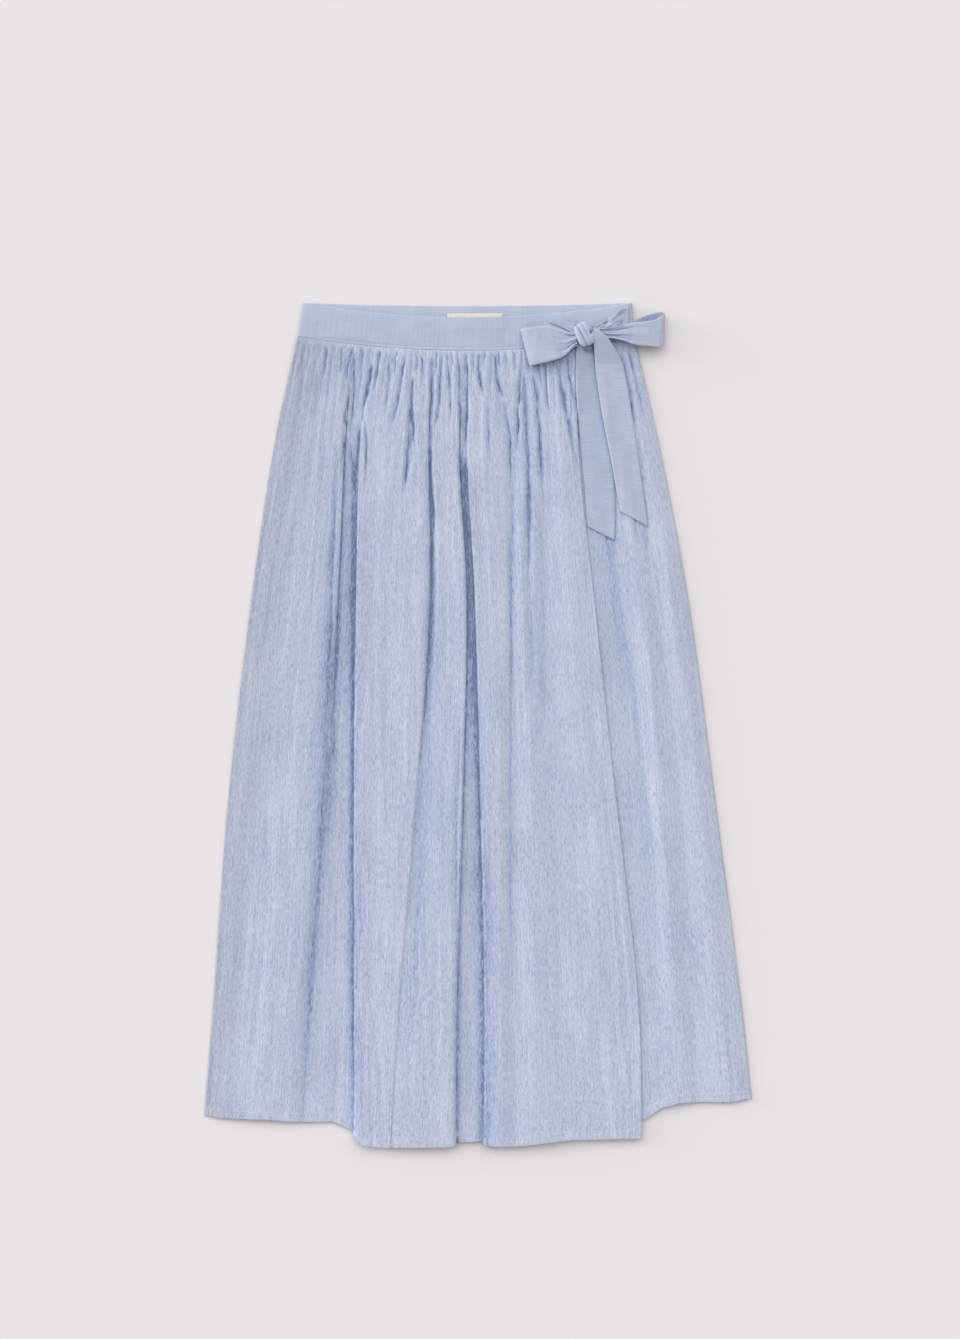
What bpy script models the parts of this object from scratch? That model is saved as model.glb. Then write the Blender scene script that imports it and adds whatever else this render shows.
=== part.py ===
# Maxi wrap skirt of crinkled cotton, laid flat on its back with its tie knotted in a bow.
# X runs across the skirt, +Y towards the waist and +Z up from the table that it lies on.
# The origin is on the table, under the middle of the skirt. Sizes are in millimetres until
# a mesh is made. The skirt has a back panel, an under panel at the wearer's left and a front
# panel that wraps over it, gathered into a waistband that dips at the front.

import math
from collections import namedtuple

import bmesh
import bpy
from mathutils import Matrix, Vector
from mathutils.bvhtree import BVHTree

METRES = 0.001

# Waist and band
WAIST_TOP = 455.5
WAIST_LEFT, WAIST_RIGHT = -189.0, 166.0
SEAM_LEFT, SEAM_RIGHT = -195.0, 168.0
BAND_HEIGHT = 36.0
FRONT_DIP = 15.5
BACK_DIP = 3.2
BAND_CELL = 15.0

# Walls and the room between them
CLOTH_WALL = 1.4
BAND_WALL = 2.4
TIE_WALL = 1.6
LABEL_WALL = 1.0
GAP = 0.3
SEAM_GAP = 0.4
FLAT_SHARE = 0.5
FOLDED_SHARE = 0.7

# Gathers
GATHER_COLUMNS = 4
SEAM_RIPPLE = 0.6
MOST_RIPPLE = 2.0
RIPPLE_SWELL = 20.0
PITCH_RULE = 30.0
SHORT_REACH, LONG_REACH = 60.0, 190.0
BACK_GATHERS = 42
BACK_SEAM_RIPPLE, BACK_RIPPLE = 0.2, 1.0

# Label inside the back of the band, and the knot of the bow
LABEL_WIDTH, LABEL_HEIGHT = 60.0, 16.0
LABEL_X, LABEL_TOP = -3.0, 444.0
KNOT_X, KNOT_Y = 114.5, 420.5
KNOT_RADII = Vector((9.7, 13.2, 6.4))
KNOT_TURN = math.radians(22)
KNOT_FULLNESS = 2.5
KNOT_PLEATS = 3
KNOT_PLEAT_DEPTH = 1.3
SKY = 80.0

# Shares of the way from the seam to the hem at which a panel has a row of points
PANEL_ROWS = (0, 0.012, 0.03, 0.055, 0.09, 0.14, 0.21, 0.32, 0.48, 0.66, 0.84, 1)
BACK_ROWS = (0, 0.025, 0.07, 0.15, 0.3, 0.52, 0.76, 1)

# A fold line runs from the seam to the hem. Its x and the height z of the middle of the
# cloth are given at these drops below the top of the waistband, and hem is its own last
# drop. gathers is the number of gathers between it and the fold line before it.
DROPS = (158.0, 320.0, 536.0, 752.0)
Fold = namedtuple("Fold", "name gathers x_seam x_158 x_320 x_536 x_752 x_hem hem "
                          "z_seam z_158 z_320 z_536 z_752 z_hem")

FRONT_FOLDS = (
    Fold("side_edge", 0, -195, -220.5, -244.5, -269.5, -285.5, -295.5, 877, 3.9, 2.4, 2.4, 2.4, 2.4, 2.4),
    Fold("side_roll", 2, -182.5, -204, -227, -250.5, -265.5, -276.5, 880, 3.9, 4.5, 4.5, 4.5, 4.5, 4),
    Fold("crest_1", 3, -160, -173, -187, -205, -222.5, -233.5, 881, 3.9, 6, 7, 7.5, 7.5, 6.5),
    Fold("trough_a_left", 3, -138, -146, -154.5, -167.5, -186, -195.5, 883, 3.9, 6.5, 7.5, 7.5, 6.5, 5.5),
    Fold("trough_a_floor", 0.5, -134, -140.5, -147, -159, -177, -186, 884, 3.9, 3.6, 3.2, 3, 3, 3.2),
    Fold("trough_a_foot", 2, -115.5, -130.5, -136, -140.5, -141.5, -143.5, 887, 3.9, 3.6, 3.2, 3, 3, 3.2),
    Fold("trough_a_right", 0.5, -109, -124, -127.5, -133, -133, -132, 907, 3.9, 6.5, 8.5, 9, 9.5, 9.5),
    Fold("crest_2", 4, -80, -93, -95, -102.5, -112.5, -116.5, 910, 3.9, 6.5, 8, 9, 9.5, 9.5),
    Fold("trough_b_left", 4, -53, -56, -55, -70, -87.5, -97, 911, 3.9, 6.5, 8.5, 9, 9.5, 9.5),
    Fold("trough_b", 0.5, -47.5, -52, -49.5, -65, -83, -93.5, 910, 3.9, 4.5, 3.8, 5.5, 7.5, 8.5),
    Fold("trough_b_right", 0.5, -42, -46.5, -43, -54, -75.5, -88.5, 911, 3.9, 6.5, 8.5, 8.5, 9.5, 9.5),
    Fold("crest_3", 2, -30, -33.5, -30, -36.5, -47.5, -57, 911, 3.9, 6.5, 8, 9, 9.5, 9.5),
    Fold("trough_c_left", 2, -18.5, -22.5, -15, -19.5, -26, -27, 910, 3.9, 6.5, 8.5, 9.5, 9.5, 9.5),
    Fold("trough_c_floor", 0.5, -13.5, -18, -10, -14, -20, -21, 906, 3.9, 4, 3.4, 3.4, 3.6, 4),
    Fold("trough_c_foot", 0.5, -8.5, -14, -6.5, -3, 1.5, 1, 904.5, 3.9, 4, 3.4, 3.4, 3.6, 4),
    Fold("trough_c_right", 0.5, -4, -8.5, -1, 3, 8, 7.5, 909, 3.9, 6.5, 8.5, 9.5, 10, 10),
    Fold("crest_4", 2, 15, 11, 17.5, 21.5, 24, 24, 910, 3.9, 7, 8.5, 9.5, 10, 10),
    Fold("trough_d", 2, 33.5, 34.5, 36.5, 38.5, 37.5, 41, 910, 3.9, 5.5, 6.5, 7, 7.5, 8.5),
    Fold("crest_5", 2, 47.5, 45.5, 49.5, 56, 61.5, 65, 907, 3.9, 6.5, 8.5, 9, 9.5, 9.5),
    Fold("trough_e", 2, 63.5, 68, 73.5, 84, 95, 101.5, 903, 3.9, 6, 6.5, 6.5, 7, 7.5),
    Fold("crest_6", 3, 87.5, 89.5, 102.5, 122, 140.5, 147, 902, 3.9, 7.5, 7.5, 7, 7, 7),
    Fold("wrap_edge", 3, 107, 108.5, 125.5, 149, 173.5, 180.5, 902, 3.9, 5, 5, 5, 5, 5),
)

UNDER_FOLDS = (
    Fold("hidden_edge", 0, 68, 67, 72.5, 84, 95, 101.5, 895, 2.4, 2.4, 2.4, 2.4, 2.4, 2.4),
    Fold("under_wrap_edge", 2, 107, 108.5, 125.5, 149, 173.5, 180.5, 886, 2.6, 3.6, 3.4, 3.4, 3.4, 3.4),
    Fold("trough_f", 1.5, 119, 128.5, 152.5, 176, 191, 197.5, 869, 3.4, 4, 3.4, 3.4, 4, 4.5),
    Fold("crest_7", 1.5, 132, 148, 177, 196.5, 211.5, 218, 863.5, 3.9, 6, 7, 7, 6.5, 5.5),
    Fold("trough_g", 1.5, 144.5, 166.5, 192, 215, 230, 242, 862.5, 3.9, 4.5, 4.5, 4, 3.4, 3),
    Fold("crest_8", 1.5, 156.5, 181.5, 209.5, 236.5, 260.5, 272, 862.5, 3.9, 5.5, 6, 5.5, 5, 4.5),
    Fold("side_edge", 1.5, 168, 196.5, 227, 256, 284, 295.5, 859, 3.9, 2.4, 2.4, 2.4, 2.4, 2.4),
)

# The back panel lies on the table. Each channel is a long soft fold that stands up from it,
# at a share of the way across at the waist and at the hem, as wide as that at the hem.
Channel = namedtuple("Channel", "at_waist at_hem width lift")
BACK_HEM_LEFT, BACK_HEM_RIGHT = 872.0, 855.0
BACK_CHANNELS = (
    Channel(0.10, 0.105, 40, 2.5),
    Channel(0.32, 0.305, 34, 3.5),
    Channel(0.455, 0.41, 44, 3.5),
    Channel(0.58, 0.535, 30, 3.5),
    Channel(0.67, 0.615, 36, 3.5),
    Channel(0.78, 0.745, 40, 2.0),
    Channel(0.90, 0.87, 44, 2.0),
)

# A tie is a strip. Each station gives the middle of the strip, its width, the heading of the
# line across it in degrees from +X, how deep its pleats are, and how many cells reach on
# to the next station. A tie never lies lower than what is under it.
Station = namedtuple("Station", "x y z width across pleat cells")

LEFT_STRAP = (
    Station(76.5, 436.5, 0, 4, 96, 0, 3),
    Station(90.5, 432, 0, 8, 100, 0.3, 3),
    Station(104, 427, 8, 12.5, 102, 0.8, 2),
    Station(112, 424, 10, 14, 102, 0.8, 0),
)
RIGHT_STRAP = (
    Station(163, 441, 0, 23, 89, 0.4, 2),
    Station(152, 437.5, 7.5, 21, 82, 1.0, 3),
    Station(139, 431, 8.5, 16, 74, 1.2, 3),
    Station(127, 426, 9.5, 12, 70, 0.9, 1),
    Station(118, 423, 10, 11, 70, 0.8, 0),
)
LEFT_TAIL = (
    Station(114.5, 412, 8.4, 15, 0, 0.5, 2),
    Station(115.5, 400, 7.6, 20, 0, 0.5, 3),
    Station(121, 366, 0, 31, 2, 0.2, 4),
    Station(127, 302, 0, 33.5, 4, 0, 3),
    Station(131, 256, 0, 33.5, -2, 0, 3),
    Station(133, 206.5, 0, 32.5, -27, 0, 0),
)
RIGHT_TAIL = (
    Station(124, 419, 11, 9, 20, 0.8, 1),
    Station(132, 410, 10.5, 15, 12, 0.8, 2),
    Station(138, 398, 9, 26, 6, 0.4, 2),
    Station(141.5, 381, 0, 30.5, 4, 0, 4),
    Station(151, 328, 0, 32, 2, 0, 4),
    Station(160, 275, 0, 31, -4, 0, 3),
    Station(168.5, 221.5, 0, 34.5, -27, 0, 0),
)
LEFT_LOOP = (
    Station(112, 418, 11, 12, 92, 0.4, 2),
    Station(102, 413.5, 10.4, 16, 93, 0.4, 2),
    Station(92, 411.5, 9, 28, 95, 0.2, 3),
    Station(77, 411, 8, 38, 98, 0, 3),
    Station(58, 408, 8, 41, 102, 0, 2),
    Station(51, 406.3, 11, 41.5, 104, 0, 2),
    Station(57, 407.5, 14.3, 41, 103, 0, 3),
    Station(77, 410.5, 15.8, 38, 98, 0, 3),
    Station(92, 411, 15.3, 28, 95, 0.3, 2),
    Station(102, 413.5, 14.9, 16, 93, 0.8, 2),
    Station(112, 418, 14.3, 12, 92, 0.8, 0),
)
RIGHT_LOOP = (
    Station(118, 422, 9.7, 10, 88, 0.6, 2),
    Station(132, 421, 9.4, 12, 88, 0.6, 2),
    Station(143, 420.5, 9, 15, 88, 0.4, 2),
    Station(156, 421, 7.6, 21, 87, 0, 2),
    Station(169, 421.5, 6, 26, 87, 0, 3),
    Station(186, 422.5, 4.6, 31, 87, 0, 2),
    Station(196, 422.5, 4.8, 31.5, 88, 0, 2),
    Station(200.5, 421, 8.2, 30, 88, 0, 2),
    Station(196.5, 418, 11.8, 27.5, 88, 0, 2),
    Station(186, 417, 12.9, 25, 88, 0, 3),
    Station(169, 417, 13.6, 22, 88, 0.3, 2),
    Station(156, 418, 13.9, 17, 88, 0.7, 2),
    Station(143, 419.5, 13.8, 13, 88, 0.9, 2),
    Station(132, 421, 13.6, 11, 88, 0.9, 2),
    Station(118, 422, 13.6, 10, 88, 0.8, 0),
)
TIE_COLUMNS = 8
TIE_PLEATS = 2

COTTON_BLUE = (0.50, 0.55, 0.70)
BAND_BLUE = (0.47, 0.53, 0.68)
TIE_BLUE = (0.49, 0.55, 0.68)
LABEL_CREAM = (0.86, 0.84, 0.74)
COTTON_ROUGHNESS = 0.9

laid = []


def clear_scene():
    """Remove what the file opens with."""
    for thing in list(bpy.data.objects):
        bpy.data.objects.remove(thing, do_unlink=True)


def mix(first, second, share):
    """Value a share of the way from one to the other."""
    return first + (second - first) * share


def smooth(knots, values, at):
    """Value at a place on the smooth curve through values at rising knots."""
    last = len(knots) - 1
    slopes = []
    for k in range(last + 1):
        before, after = max(k - 1, 0), min(k + 1, last)
        slopes.append((values[after] - values[before]) / (knots[after] - knots[before]))
    k = 0
    while k < last - 1 and at > knots[k + 1]:
        k += 1
    span = knots[k + 1] - knots[k]
    u = min(max((at - knots[k]) / span, 0.0), 1.0)
    start = (1 + 2 * u) * (1 - u) ** 2 * values[k] + u * (1 - u) ** 2 * span * slopes[k]
    end = u * u * (3 - 2 * u) * values[k + 1] - u * u * (1 - u) * span * slopes[k + 1]
    return start + end


def make_material(name, colour, roughness):
    """Material of the cloth's own colour."""
    material = bpy.data.materials.new(name)
    material.use_nodes = True
    shader = material.node_tree.nodes["Principled BSDF"]
    shader.inputs["Base Color"].default_value = (*colour, 1.0)
    shader.inputs["Roughness"].default_value = roughness
    shader.inputs["Metallic"].default_value = 0.0
    return material


def add_piece(name, bm, material):
    """Put a finished mesh into the skirt's collection."""
    mesh = bpy.data.meshes.new(name)
    bm.to_mesh(mesh)
    bm.free()
    mesh.materials.append(material)
    mesh.shade_smooth()
    piece = bpy.data.objects.new(name, mesh)
    collection.objects.link(piece)
    return piece


def remember(piece):
    """Count a piece as laid, so that the next ones lie on it."""
    bpy.context.view_layer.update()
    laid.append(BVHTree.FromObject(piece, bpy.context.evaluated_depsgraph_get()))


def lay_cloth(name, points, wall, material):
    """Lay a sheet on rows of points, from the first row down, and give it its wall."""
    rows, columns = len(points) - 1, len(points[0]) - 1
    bm = bmesh.new()
    bmesh.ops.create_grid(bm, x_segments=columns, y_segments=rows, size=1)
    for vert in bm.verts:
        column = round((vert.co.x + 1) / 2 * columns)
        row = round((1 - vert.co.y) / 2 * rows)
        vert.co = points[row][column] * METRES
    piece = add_piece(name, bm, material)
    solidify = piece.modifiers.new("wall", "SOLIDIFY")
    solidify.thickness = wall * METRES
    solidify.offset = 0
    remember(piece)
    return piece


def top_of(x, y):
    """Height of the highest surface laid so far at a place, or 0 on the bare table."""
    start = Vector((x, y, SKY)) * METRES
    hits = [tree.ray_cast(start, Vector((0, 0, -1)))[0] for tree in laid]
    return max((hit.z / METRES for hit in hits if hit), default=0.0)


def resting(plan, wall, wall_share):
    """Least height of each point's cloth that clears all that lies under the cells it is in."""
    across_step, along_step = 1.2, 9.0
    rows, columns = len(plan) - 1, len(plan[0]) - 1
    least = [[wall / 2] * (columns + 1) for _ in range(rows + 1)]
    for i in range(rows):
        for j in range(columns):
            corners = (plan[i][j], plan[i][j + 1], plan[i + 1][j], plan[i + 1][j + 1])
            along = max((corners[2] - corners[0]).length, (corners[3] - corners[1]).length)
            across = max((corners[1] - corners[0]).length, (corners[3] - corners[2]).length)
            steps_down = max(2, math.ceil(along / along_step))
            steps_over = max(2, math.ceil(across / across_step))
            top = 0.0
            for a in range(steps_down + 1):
                left = mix(corners[0], corners[2], a / steps_down)
                right = mix(corners[1], corners[3], a / steps_down)
                for b in range(steps_over + 1):
                    spot = mix(left, right, b / steps_over)
                    top = max(top, top_of(spot.x, spot.y))
            if top == 0.0:
                continue
            for row, column in ((i, j), (i, j + 1), (i + 1, j), (i + 1, j + 1)):
                least[row][column] = max(least[row][column], top + GAP + wall * wall_share)
    return least


def drape(heights, least, passes):
    """Pull a sheet taut: each height goes to its neighbours' mean, but never under its least."""
    rows, columns = len(heights), len(heights[0])
    for _ in range(passes):
        before = [list(row) for row in heights]
        for i in range(rows):
            for j in range(columns):
                near = [before[i + a][j + b] for a, b in ((-1, 0), (1, 0), (0, -1), (0, 1))
                        if 0 <= i + a < rows and 0 <= j + b < columns]
                heights[i][j] = max(least[i][j], sum(near) / len(near))
    return heights


def band_point(share, depth, dip):
    """Place on a waistband: a share of the way across, a share of its height down."""
    left = mix(WAIST_LEFT, SEAM_LEFT, depth)
    right = mix(WAIST_RIGHT, SEAM_RIGHT, depth)
    y = WAIST_TOP - dip * (1 - (2 * share - 1) ** 2) - BAND_HEIGHT * depth
    return Vector((mix(left, right, share), y, 0.0))


def seam_share(x):
    """Share of the way across the seam at which x lies."""
    return (x - SEAM_LEFT) / (SEAM_RIGHT - SEAM_LEFT)


def make_band(name, dip, passes):
    """Half of the waistband, from side to side, laid on what is under it."""
    cells = round((SEAM_RIGHT - SEAM_LEFT) / BAND_CELL)
    points = [[band_point(k / cells, depth, dip) for k in range(cells + 1)]
              for depth in (0, 0.34, 0.67, 1)]
    least = resting(points, BAND_WALL, FLAT_SHARE)
    heights = drape([list(row) for row in least], least, passes)
    for row, row_heights in zip(points, heights):
        for point, height in zip(row, row_heights):
            point.z = height
    return lay_cloth(name, points, BAND_WALL, band_cloth)


def fold_point(fold, share):
    """Point of a fold line, a share of the way from the seam to the hem."""
    seam_y = band_point(seam_share(fold.x_seam), 1, FRONT_DIP).y - SEAM_GAP
    y = mix(seam_y, WAIST_TOP - fold.hem, share)
    knots = (WAIST_TOP - seam_y,) + DROPS + (fold.hem,)
    places = (fold.x_seam, fold.x_158, fold.x_320, fold.x_536, fold.x_752, fold.x_hem)
    heights = (fold.z_seam, fold.z_158, fold.z_320, fold.z_536, fold.z_752, fold.z_hem)
    drop = WAIST_TOP - y
    return Vector((smooth(knots, places, drop), y, smooth(knots, heights, drop)))


def ripple(gather, below, pitch):
    """Height of a gather's wave, at a place counted in gathers and a distance below the seam."""
    number = math.floor(gather)
    reach = mix(SHORT_REACH, LONG_REACH, 0.5 + 0.5 * math.sin(2.4 * number))
    most = min(MOST_RIPPLE, pitch ** 2 / PITCH_RULE)
    swell = mix(min(SEAM_RIPPLE, most), most, min(below / RIPPLE_SWELL, 1.0))
    fade = math.exp(-max(below - RIPPLE_SWELL, 0.0) / reach)
    return swell * fade * (0.5 + math.cos(2 * math.pi * gather))


def gathered_points(folds):
    """Rows of points of a gathered panel, with columns that run along its fold lines."""
    rows = []
    for share in PANEL_ROWS:
        lines = [fold_point(fold, share) for fold in folds]
        row, gather = [lines[0]], 0.0
        for k in range(1, len(folds)):
            columns = round(folds[k].gathers * GATHER_COLUMNS)
            pitch = (lines[k] - lines[k - 1]).length / max(folds[k].gathers, 1)
            for column in range(1, columns + 1):
                u = column / columns
                point = mix(lines[k - 1], lines[k], u)
                eased = (1 - math.cos(math.pi * u)) / 2
                point.z = mix(lines[k - 1].z, lines[k].z, eased)
                below = share * (folds[k].hem - BAND_HEIGHT)
                point.z += ripple(gather + folds[k].gathers * u, below, pitch)
                row.append(point)
            gather += folds[k].gathers
        rows.append(row)
    return rows


def make_gathered_panel(name, folds):
    """A gathered panel that meets the front band's seam and lies on what is under it."""
    points = gathered_points(folds)
    least = resting(points, CLOTH_WALL, FOLDED_SHARE)
    for row, least_row in zip(points, least):
        for point, height in zip(row, least_row):
            point.z = max(point.z, height)
    return lay_cloth(name, points, CLOTH_WALL, skirt_cloth)


def back_lift(share, across, width):
    """How far the channels lift the back panel, a share of the way down and across."""
    lift = 0.0
    for channel in BACK_CHANNELS:
        middle = mix(channel.at_waist, channel.at_hem, share)
        reach = channel.width / (SIDE_RIGHT.x_hem - SIDE_LEFT.x_hem) / 2
        away = abs(across - middle) / reach
        if away < 1:
            lift += channel.lift * min(share / 0.15, 1.0) * (1 + math.cos(math.pi * away)) / 2
    return lift


def make_back_panel():
    """The back panel, gathered at the waist, with its underside on the table."""
    rows = []
    columns = BACK_GATHERS * 2
    for share in BACK_ROWS:
        row = []
        left, right = fold_point(SIDE_LEFT, share), fold_point(SIDE_RIGHT, share)
        for column in range(columns + 1):
            across = column / columns
            seam_y = band_point(across, 1, BACK_DIP).y - SEAM_GAP
            hem_y = WAIST_TOP - mix(BACK_HEM_LEFT, BACK_HEM_RIGHT, across)
            x = mix(left.x, right.x, across)
            number = column // 2
            reach = mix(SHORT_REACH, LONG_REACH, 0.5 + 0.5 * math.sin(2.4 * number))
            below = share * BACK_HEM_LEFT
            swell = mix(BACK_SEAM_RIPPLE, BACK_RIPPLE, min(below / RIPPLE_SWELL, 1.0))
            wave = swell * math.exp(-below / reach) * (column % 2)
            lift = back_lift(share, across, right.x - left.x)
            row.append(Vector((x, mix(seam_y, hem_y, share), CLOTH_WALL / 2 + wave + lift)))
        rows.append(row)
    return lay_cloth("back_panel", rows, CLOTH_WALL, skirt_cloth)


def make_label():
    """The label sewn inside the back of the waistband."""
    xs = [LABEL_X + LABEL_WIDTH * (share - 0.5) for share in (0, 0.5, 1)]
    points = [[Vector((x, LABEL_TOP - drop, 0)) for x in xs] for drop in (0, LABEL_HEIGHT)]
    least = resting(points, LABEL_WALL, FLAT_SHARE)
    highest = max(max(row) for row in least)
    for row in points:
        for point in row:
            point.z = highest
    return lay_cloth("waist_label", points, LABEL_WALL, label_cloth)


def knot_distance(point):
    """How far out a point is from the middle of the knot, where 1 is just clear of it."""
    offset = Matrix.Rotation(-KNOT_TURN, 3, "Z") @ (point - knot_centre)
    room = GAP + TIE_WALL * FOLDED_SHARE
    parts = [abs(offset[k]) / (KNOT_RADII[k] + room) for k in range(3)]
    return sum(part ** KNOT_FULLNESS for part in parts)


def strip_point(stations, knots, along, side):
    """Point of a tie at a length along it and a side from -1 to 1 across it."""
    x, y, z, width, across, pleat = (
        smooth(knots, [station[column] for station in stations], along) for column in range(6))
    reach = side * width / 2
    heading = math.radians(across)
    wave = pleat * math.cos(TIE_PLEATS * math.pi * side)
    return Vector((x + reach * math.cos(heading), y + reach * math.sin(heading), z + wave))


def make_tie(name, stations, trims, passes):
    """A strip through its stations, cut off just clear of the knot at the ends in trims."""
    knots = [0.0]
    for here, there in zip(stations, stations[1:]):
        step = Vector((there.x, there.y, there.z)) - Vector((here.x, here.y, here.z))
        knots.append(knots[-1] + step.length)
    shares = []
    for k, station in enumerate(stations[:-1]):
        shares += [mix(knots[k], knots[k + 1], c / station.cells) / knots[-1]
                   for c in range(station.cells)]
    shares.append(1.0)
    threads = []
    for column in range(TIE_COLUMNS + 1):
        side = 2 * column / TIE_COLUMNS - 1
        start, end = 0.0, knots[-1]
        while "start" in trims and knot_distance(strip_point(stations, knots, start, side)) < 1:
            start += 0.2
        while "end" in trims and knot_distance(strip_point(stations, knots, end, side)) < 1:
            end -= 0.2
        threads.append([strip_point(stations, knots, mix(start, end, share), side)
                        for share in shares])
    points = [list(row) for row in zip(*threads)]
    least = resting(points, TIE_WALL, FOLDED_SHARE)
    heights = [[max(point.z, height) for point, height in zip(row, least_row)]
               for row, least_row in zip(points, least)]
    heights = drape(heights, least, passes)
    for row, row_heights in zip(points, heights):
        for point, height in zip(row, row_heights):
            point.z = height
    return lay_cloth(name, points, TIE_WALL, tie_cloth)


def make_knot():
    """The knot: a rounded lump with the pleats of the tie that goes round it."""
    bm = bmesh.new()
    bmesh.ops.create_uvsphere(bm, u_segments=24, v_segments=14, radius=1)
    for vert in bm.verts:
        full = sum(abs(part) ** KNOT_FULLNESS for part in vert.co) ** (-1 / KNOT_FULLNESS)
        groove = (1 + math.cos(2 * math.pi * KNOT_PLEATS * (vert.co.x * full + 1) / 2)) / 2
        size = full * (1 - KNOT_PLEAT_DEPTH / KNOT_RADII.z * groove * (1 - vert.co.y ** 2))
        vert.co = Vector([vert.co[k] * KNOT_RADII[k] * size for k in range(3)])
    turn = Matrix.Rotation(KNOT_TURN, 4, "Z")
    place = Matrix.Translation(knot_centre * METRES) @ turn @ Matrix.Scale(METRES, 4)
    bmesh.ops.transform(bm, matrix=place, verts=bm.verts)
    return add_piece("bow_knot", bm, tie_cloth)


clear_scene()
collection = bpy.data.collections.new("maxi_skirt")
bpy.context.scene.collection.children.link(collection)
skirt_cloth = make_material("crinkled_cotton", COTTON_BLUE, COTTON_ROUGHNESS)
band_cloth = make_material("band_cotton", BAND_BLUE, COTTON_ROUGHNESS)
tie_cloth = make_material("tie_cotton", TIE_BLUE, COTTON_ROUGHNESS)
label_cloth = make_material("label_tape", LABEL_CREAM, COTTON_ROUGHNESS)

SIDE_LEFT, SIDE_RIGHT = FRONT_FOLDS[0], UNDER_FOLDS[-1]

make_band("waistband_back", BACK_DIP, 0)
make_back_panel()
make_label()
make_band("waistband_front", FRONT_DIP, 20)
make_gathered_panel("under_wrap_panel", UNDER_FOLDS)
make_gathered_panel("front_wrap_panel", FRONT_FOLDS)

knot_base = max(top_of(KNOT_X + KNOT_RADII.x * a, KNOT_Y + KNOT_RADII.y * b)
                for a in (-1, -0.5, 0, 0.5, 1) for b in (-1, -0.5, 0, 0.5, 1))
knot_centre = Vector((KNOT_X, KNOT_Y, knot_base + GAP + KNOT_RADII.z))
make_tie("tie_strap_left", LEFT_STRAP, ("end",), 8)
make_tie("tie_strap_right", RIGHT_STRAP, ("end",), 8)
make_tie("bow_tail_left", LEFT_TAIL, ("start",), 30)
make_tie("bow_tail_right", RIGHT_TAIL, ("start",), 30)
make_tie("bow_loop_left", LEFT_LOOP, ("start", "end"), 0)
make_tie("bow_loop_right", RIGHT_LOOP, ("start", "end"), 0)
make_knot()
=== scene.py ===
import math
from collections import namedtuple

import bpy
import numpy as np
from mathutils import Matrix, Vector
from mathutils.bvhtree import BVHTree


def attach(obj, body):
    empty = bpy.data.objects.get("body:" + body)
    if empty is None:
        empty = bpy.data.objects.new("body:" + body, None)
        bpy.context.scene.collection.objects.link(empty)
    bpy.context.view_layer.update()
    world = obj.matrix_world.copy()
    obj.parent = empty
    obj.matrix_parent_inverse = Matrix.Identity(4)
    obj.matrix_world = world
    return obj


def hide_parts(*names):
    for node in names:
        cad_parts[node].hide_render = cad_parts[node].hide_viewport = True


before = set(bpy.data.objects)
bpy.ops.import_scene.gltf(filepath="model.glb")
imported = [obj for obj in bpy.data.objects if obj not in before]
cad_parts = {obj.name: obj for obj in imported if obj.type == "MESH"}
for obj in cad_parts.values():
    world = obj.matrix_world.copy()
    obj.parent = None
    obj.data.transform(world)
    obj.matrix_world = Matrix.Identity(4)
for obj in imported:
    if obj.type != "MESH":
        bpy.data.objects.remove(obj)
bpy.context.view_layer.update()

# Waistband, back half.
# A straight strip of smooth plain-weave cotton, folded double and pressed, that lies on the
# table. The front half dips below it, so it shows as a thin strip along the top.

METRES = 0.001
WAIST_TOP = 455.5
WAIST_LEFT, WAIST_RIGHT = -189.0, 166.0
SEAM_LEFT, SEAM_RIGHT = -195.0, 168.0
BAND_HEIGHT = 36.0
FRONT_DIP = 15.5
BACK_DIP = 3.2
BAND_HALF = 0.95
BAND_COLUMNS = 240
BAND_DEPTHS = np.concatenate([(0, 0.01, 0.03), np.linspace(0.06, 0.88, 21),
                              (0.895, 0.91, 0.925, 0.94, 0.953, 0.965, 0.976, 0.985, 0.993, 1)])
BAND_SETTLING = 40
PRESSED_EDGE, STITCH_GROOVE = 1.0, 3.2

RAY_START = 80.0
CLEARANCE, TABLE_CLEARANCE = 0.22, 0.02
NOISE_CELLS = 97

# For the painted shade in the folds: how far to each side a point is compared, and the depth
# that counts as full shade.
FOLD_SHADE_REACHES = ((2.5, 1.4), (6, 3.0), (20, 10.0))
FOLD_SHADE_STEP = 0.5
EDGE_STEP = 0.6

laid = []


def rows_of(kind, rows):
    """A table's rows as records with named fields."""
    return tuple(kind(*row) for row in rows)


def mix(first, second, share):
    """Value a share of the way from one to the other."""
    return first + (second - first) * share


def ease(share):
    """Share that starts and ends gently."""
    share = np.clip(share, 0, 1)
    return share * share * (3 - 2 * share)


def bell(away, reach):
    """Share that falls from 1 to nothing over a few times the reach, to both sides."""
    return np.exp(-(away / reach) ** 2)


def smooth(knots, values, at):
    """Values at places on the smooth curve through values at rising knots."""
    knots, values, at = np.asarray(knots, float), np.asarray(values, float), np.asarray(at)
    slopes = np.gradient(values, knots, edge_order=1)
    slopes[1:-1] = (values[2:] - values[:-2]) / (knots[2:] - knots[:-2])
    k = np.clip(np.searchsorted(knots, at) - 1, 0, len(knots) - 2)
    span = knots[k + 1] - knots[k]
    u = np.clip((at - knots[k]) / span, 0, 1)
    start = (1 + 2 * u) * (1 - u) ** 2 * values[k] + u * (1 - u) ** 2 * span * slopes[k]
    end = u * u * (3 - 2 * u) * values[k + 1] - u * u * (1 - u) * span * slopes[k + 1]
    return start + end


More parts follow.
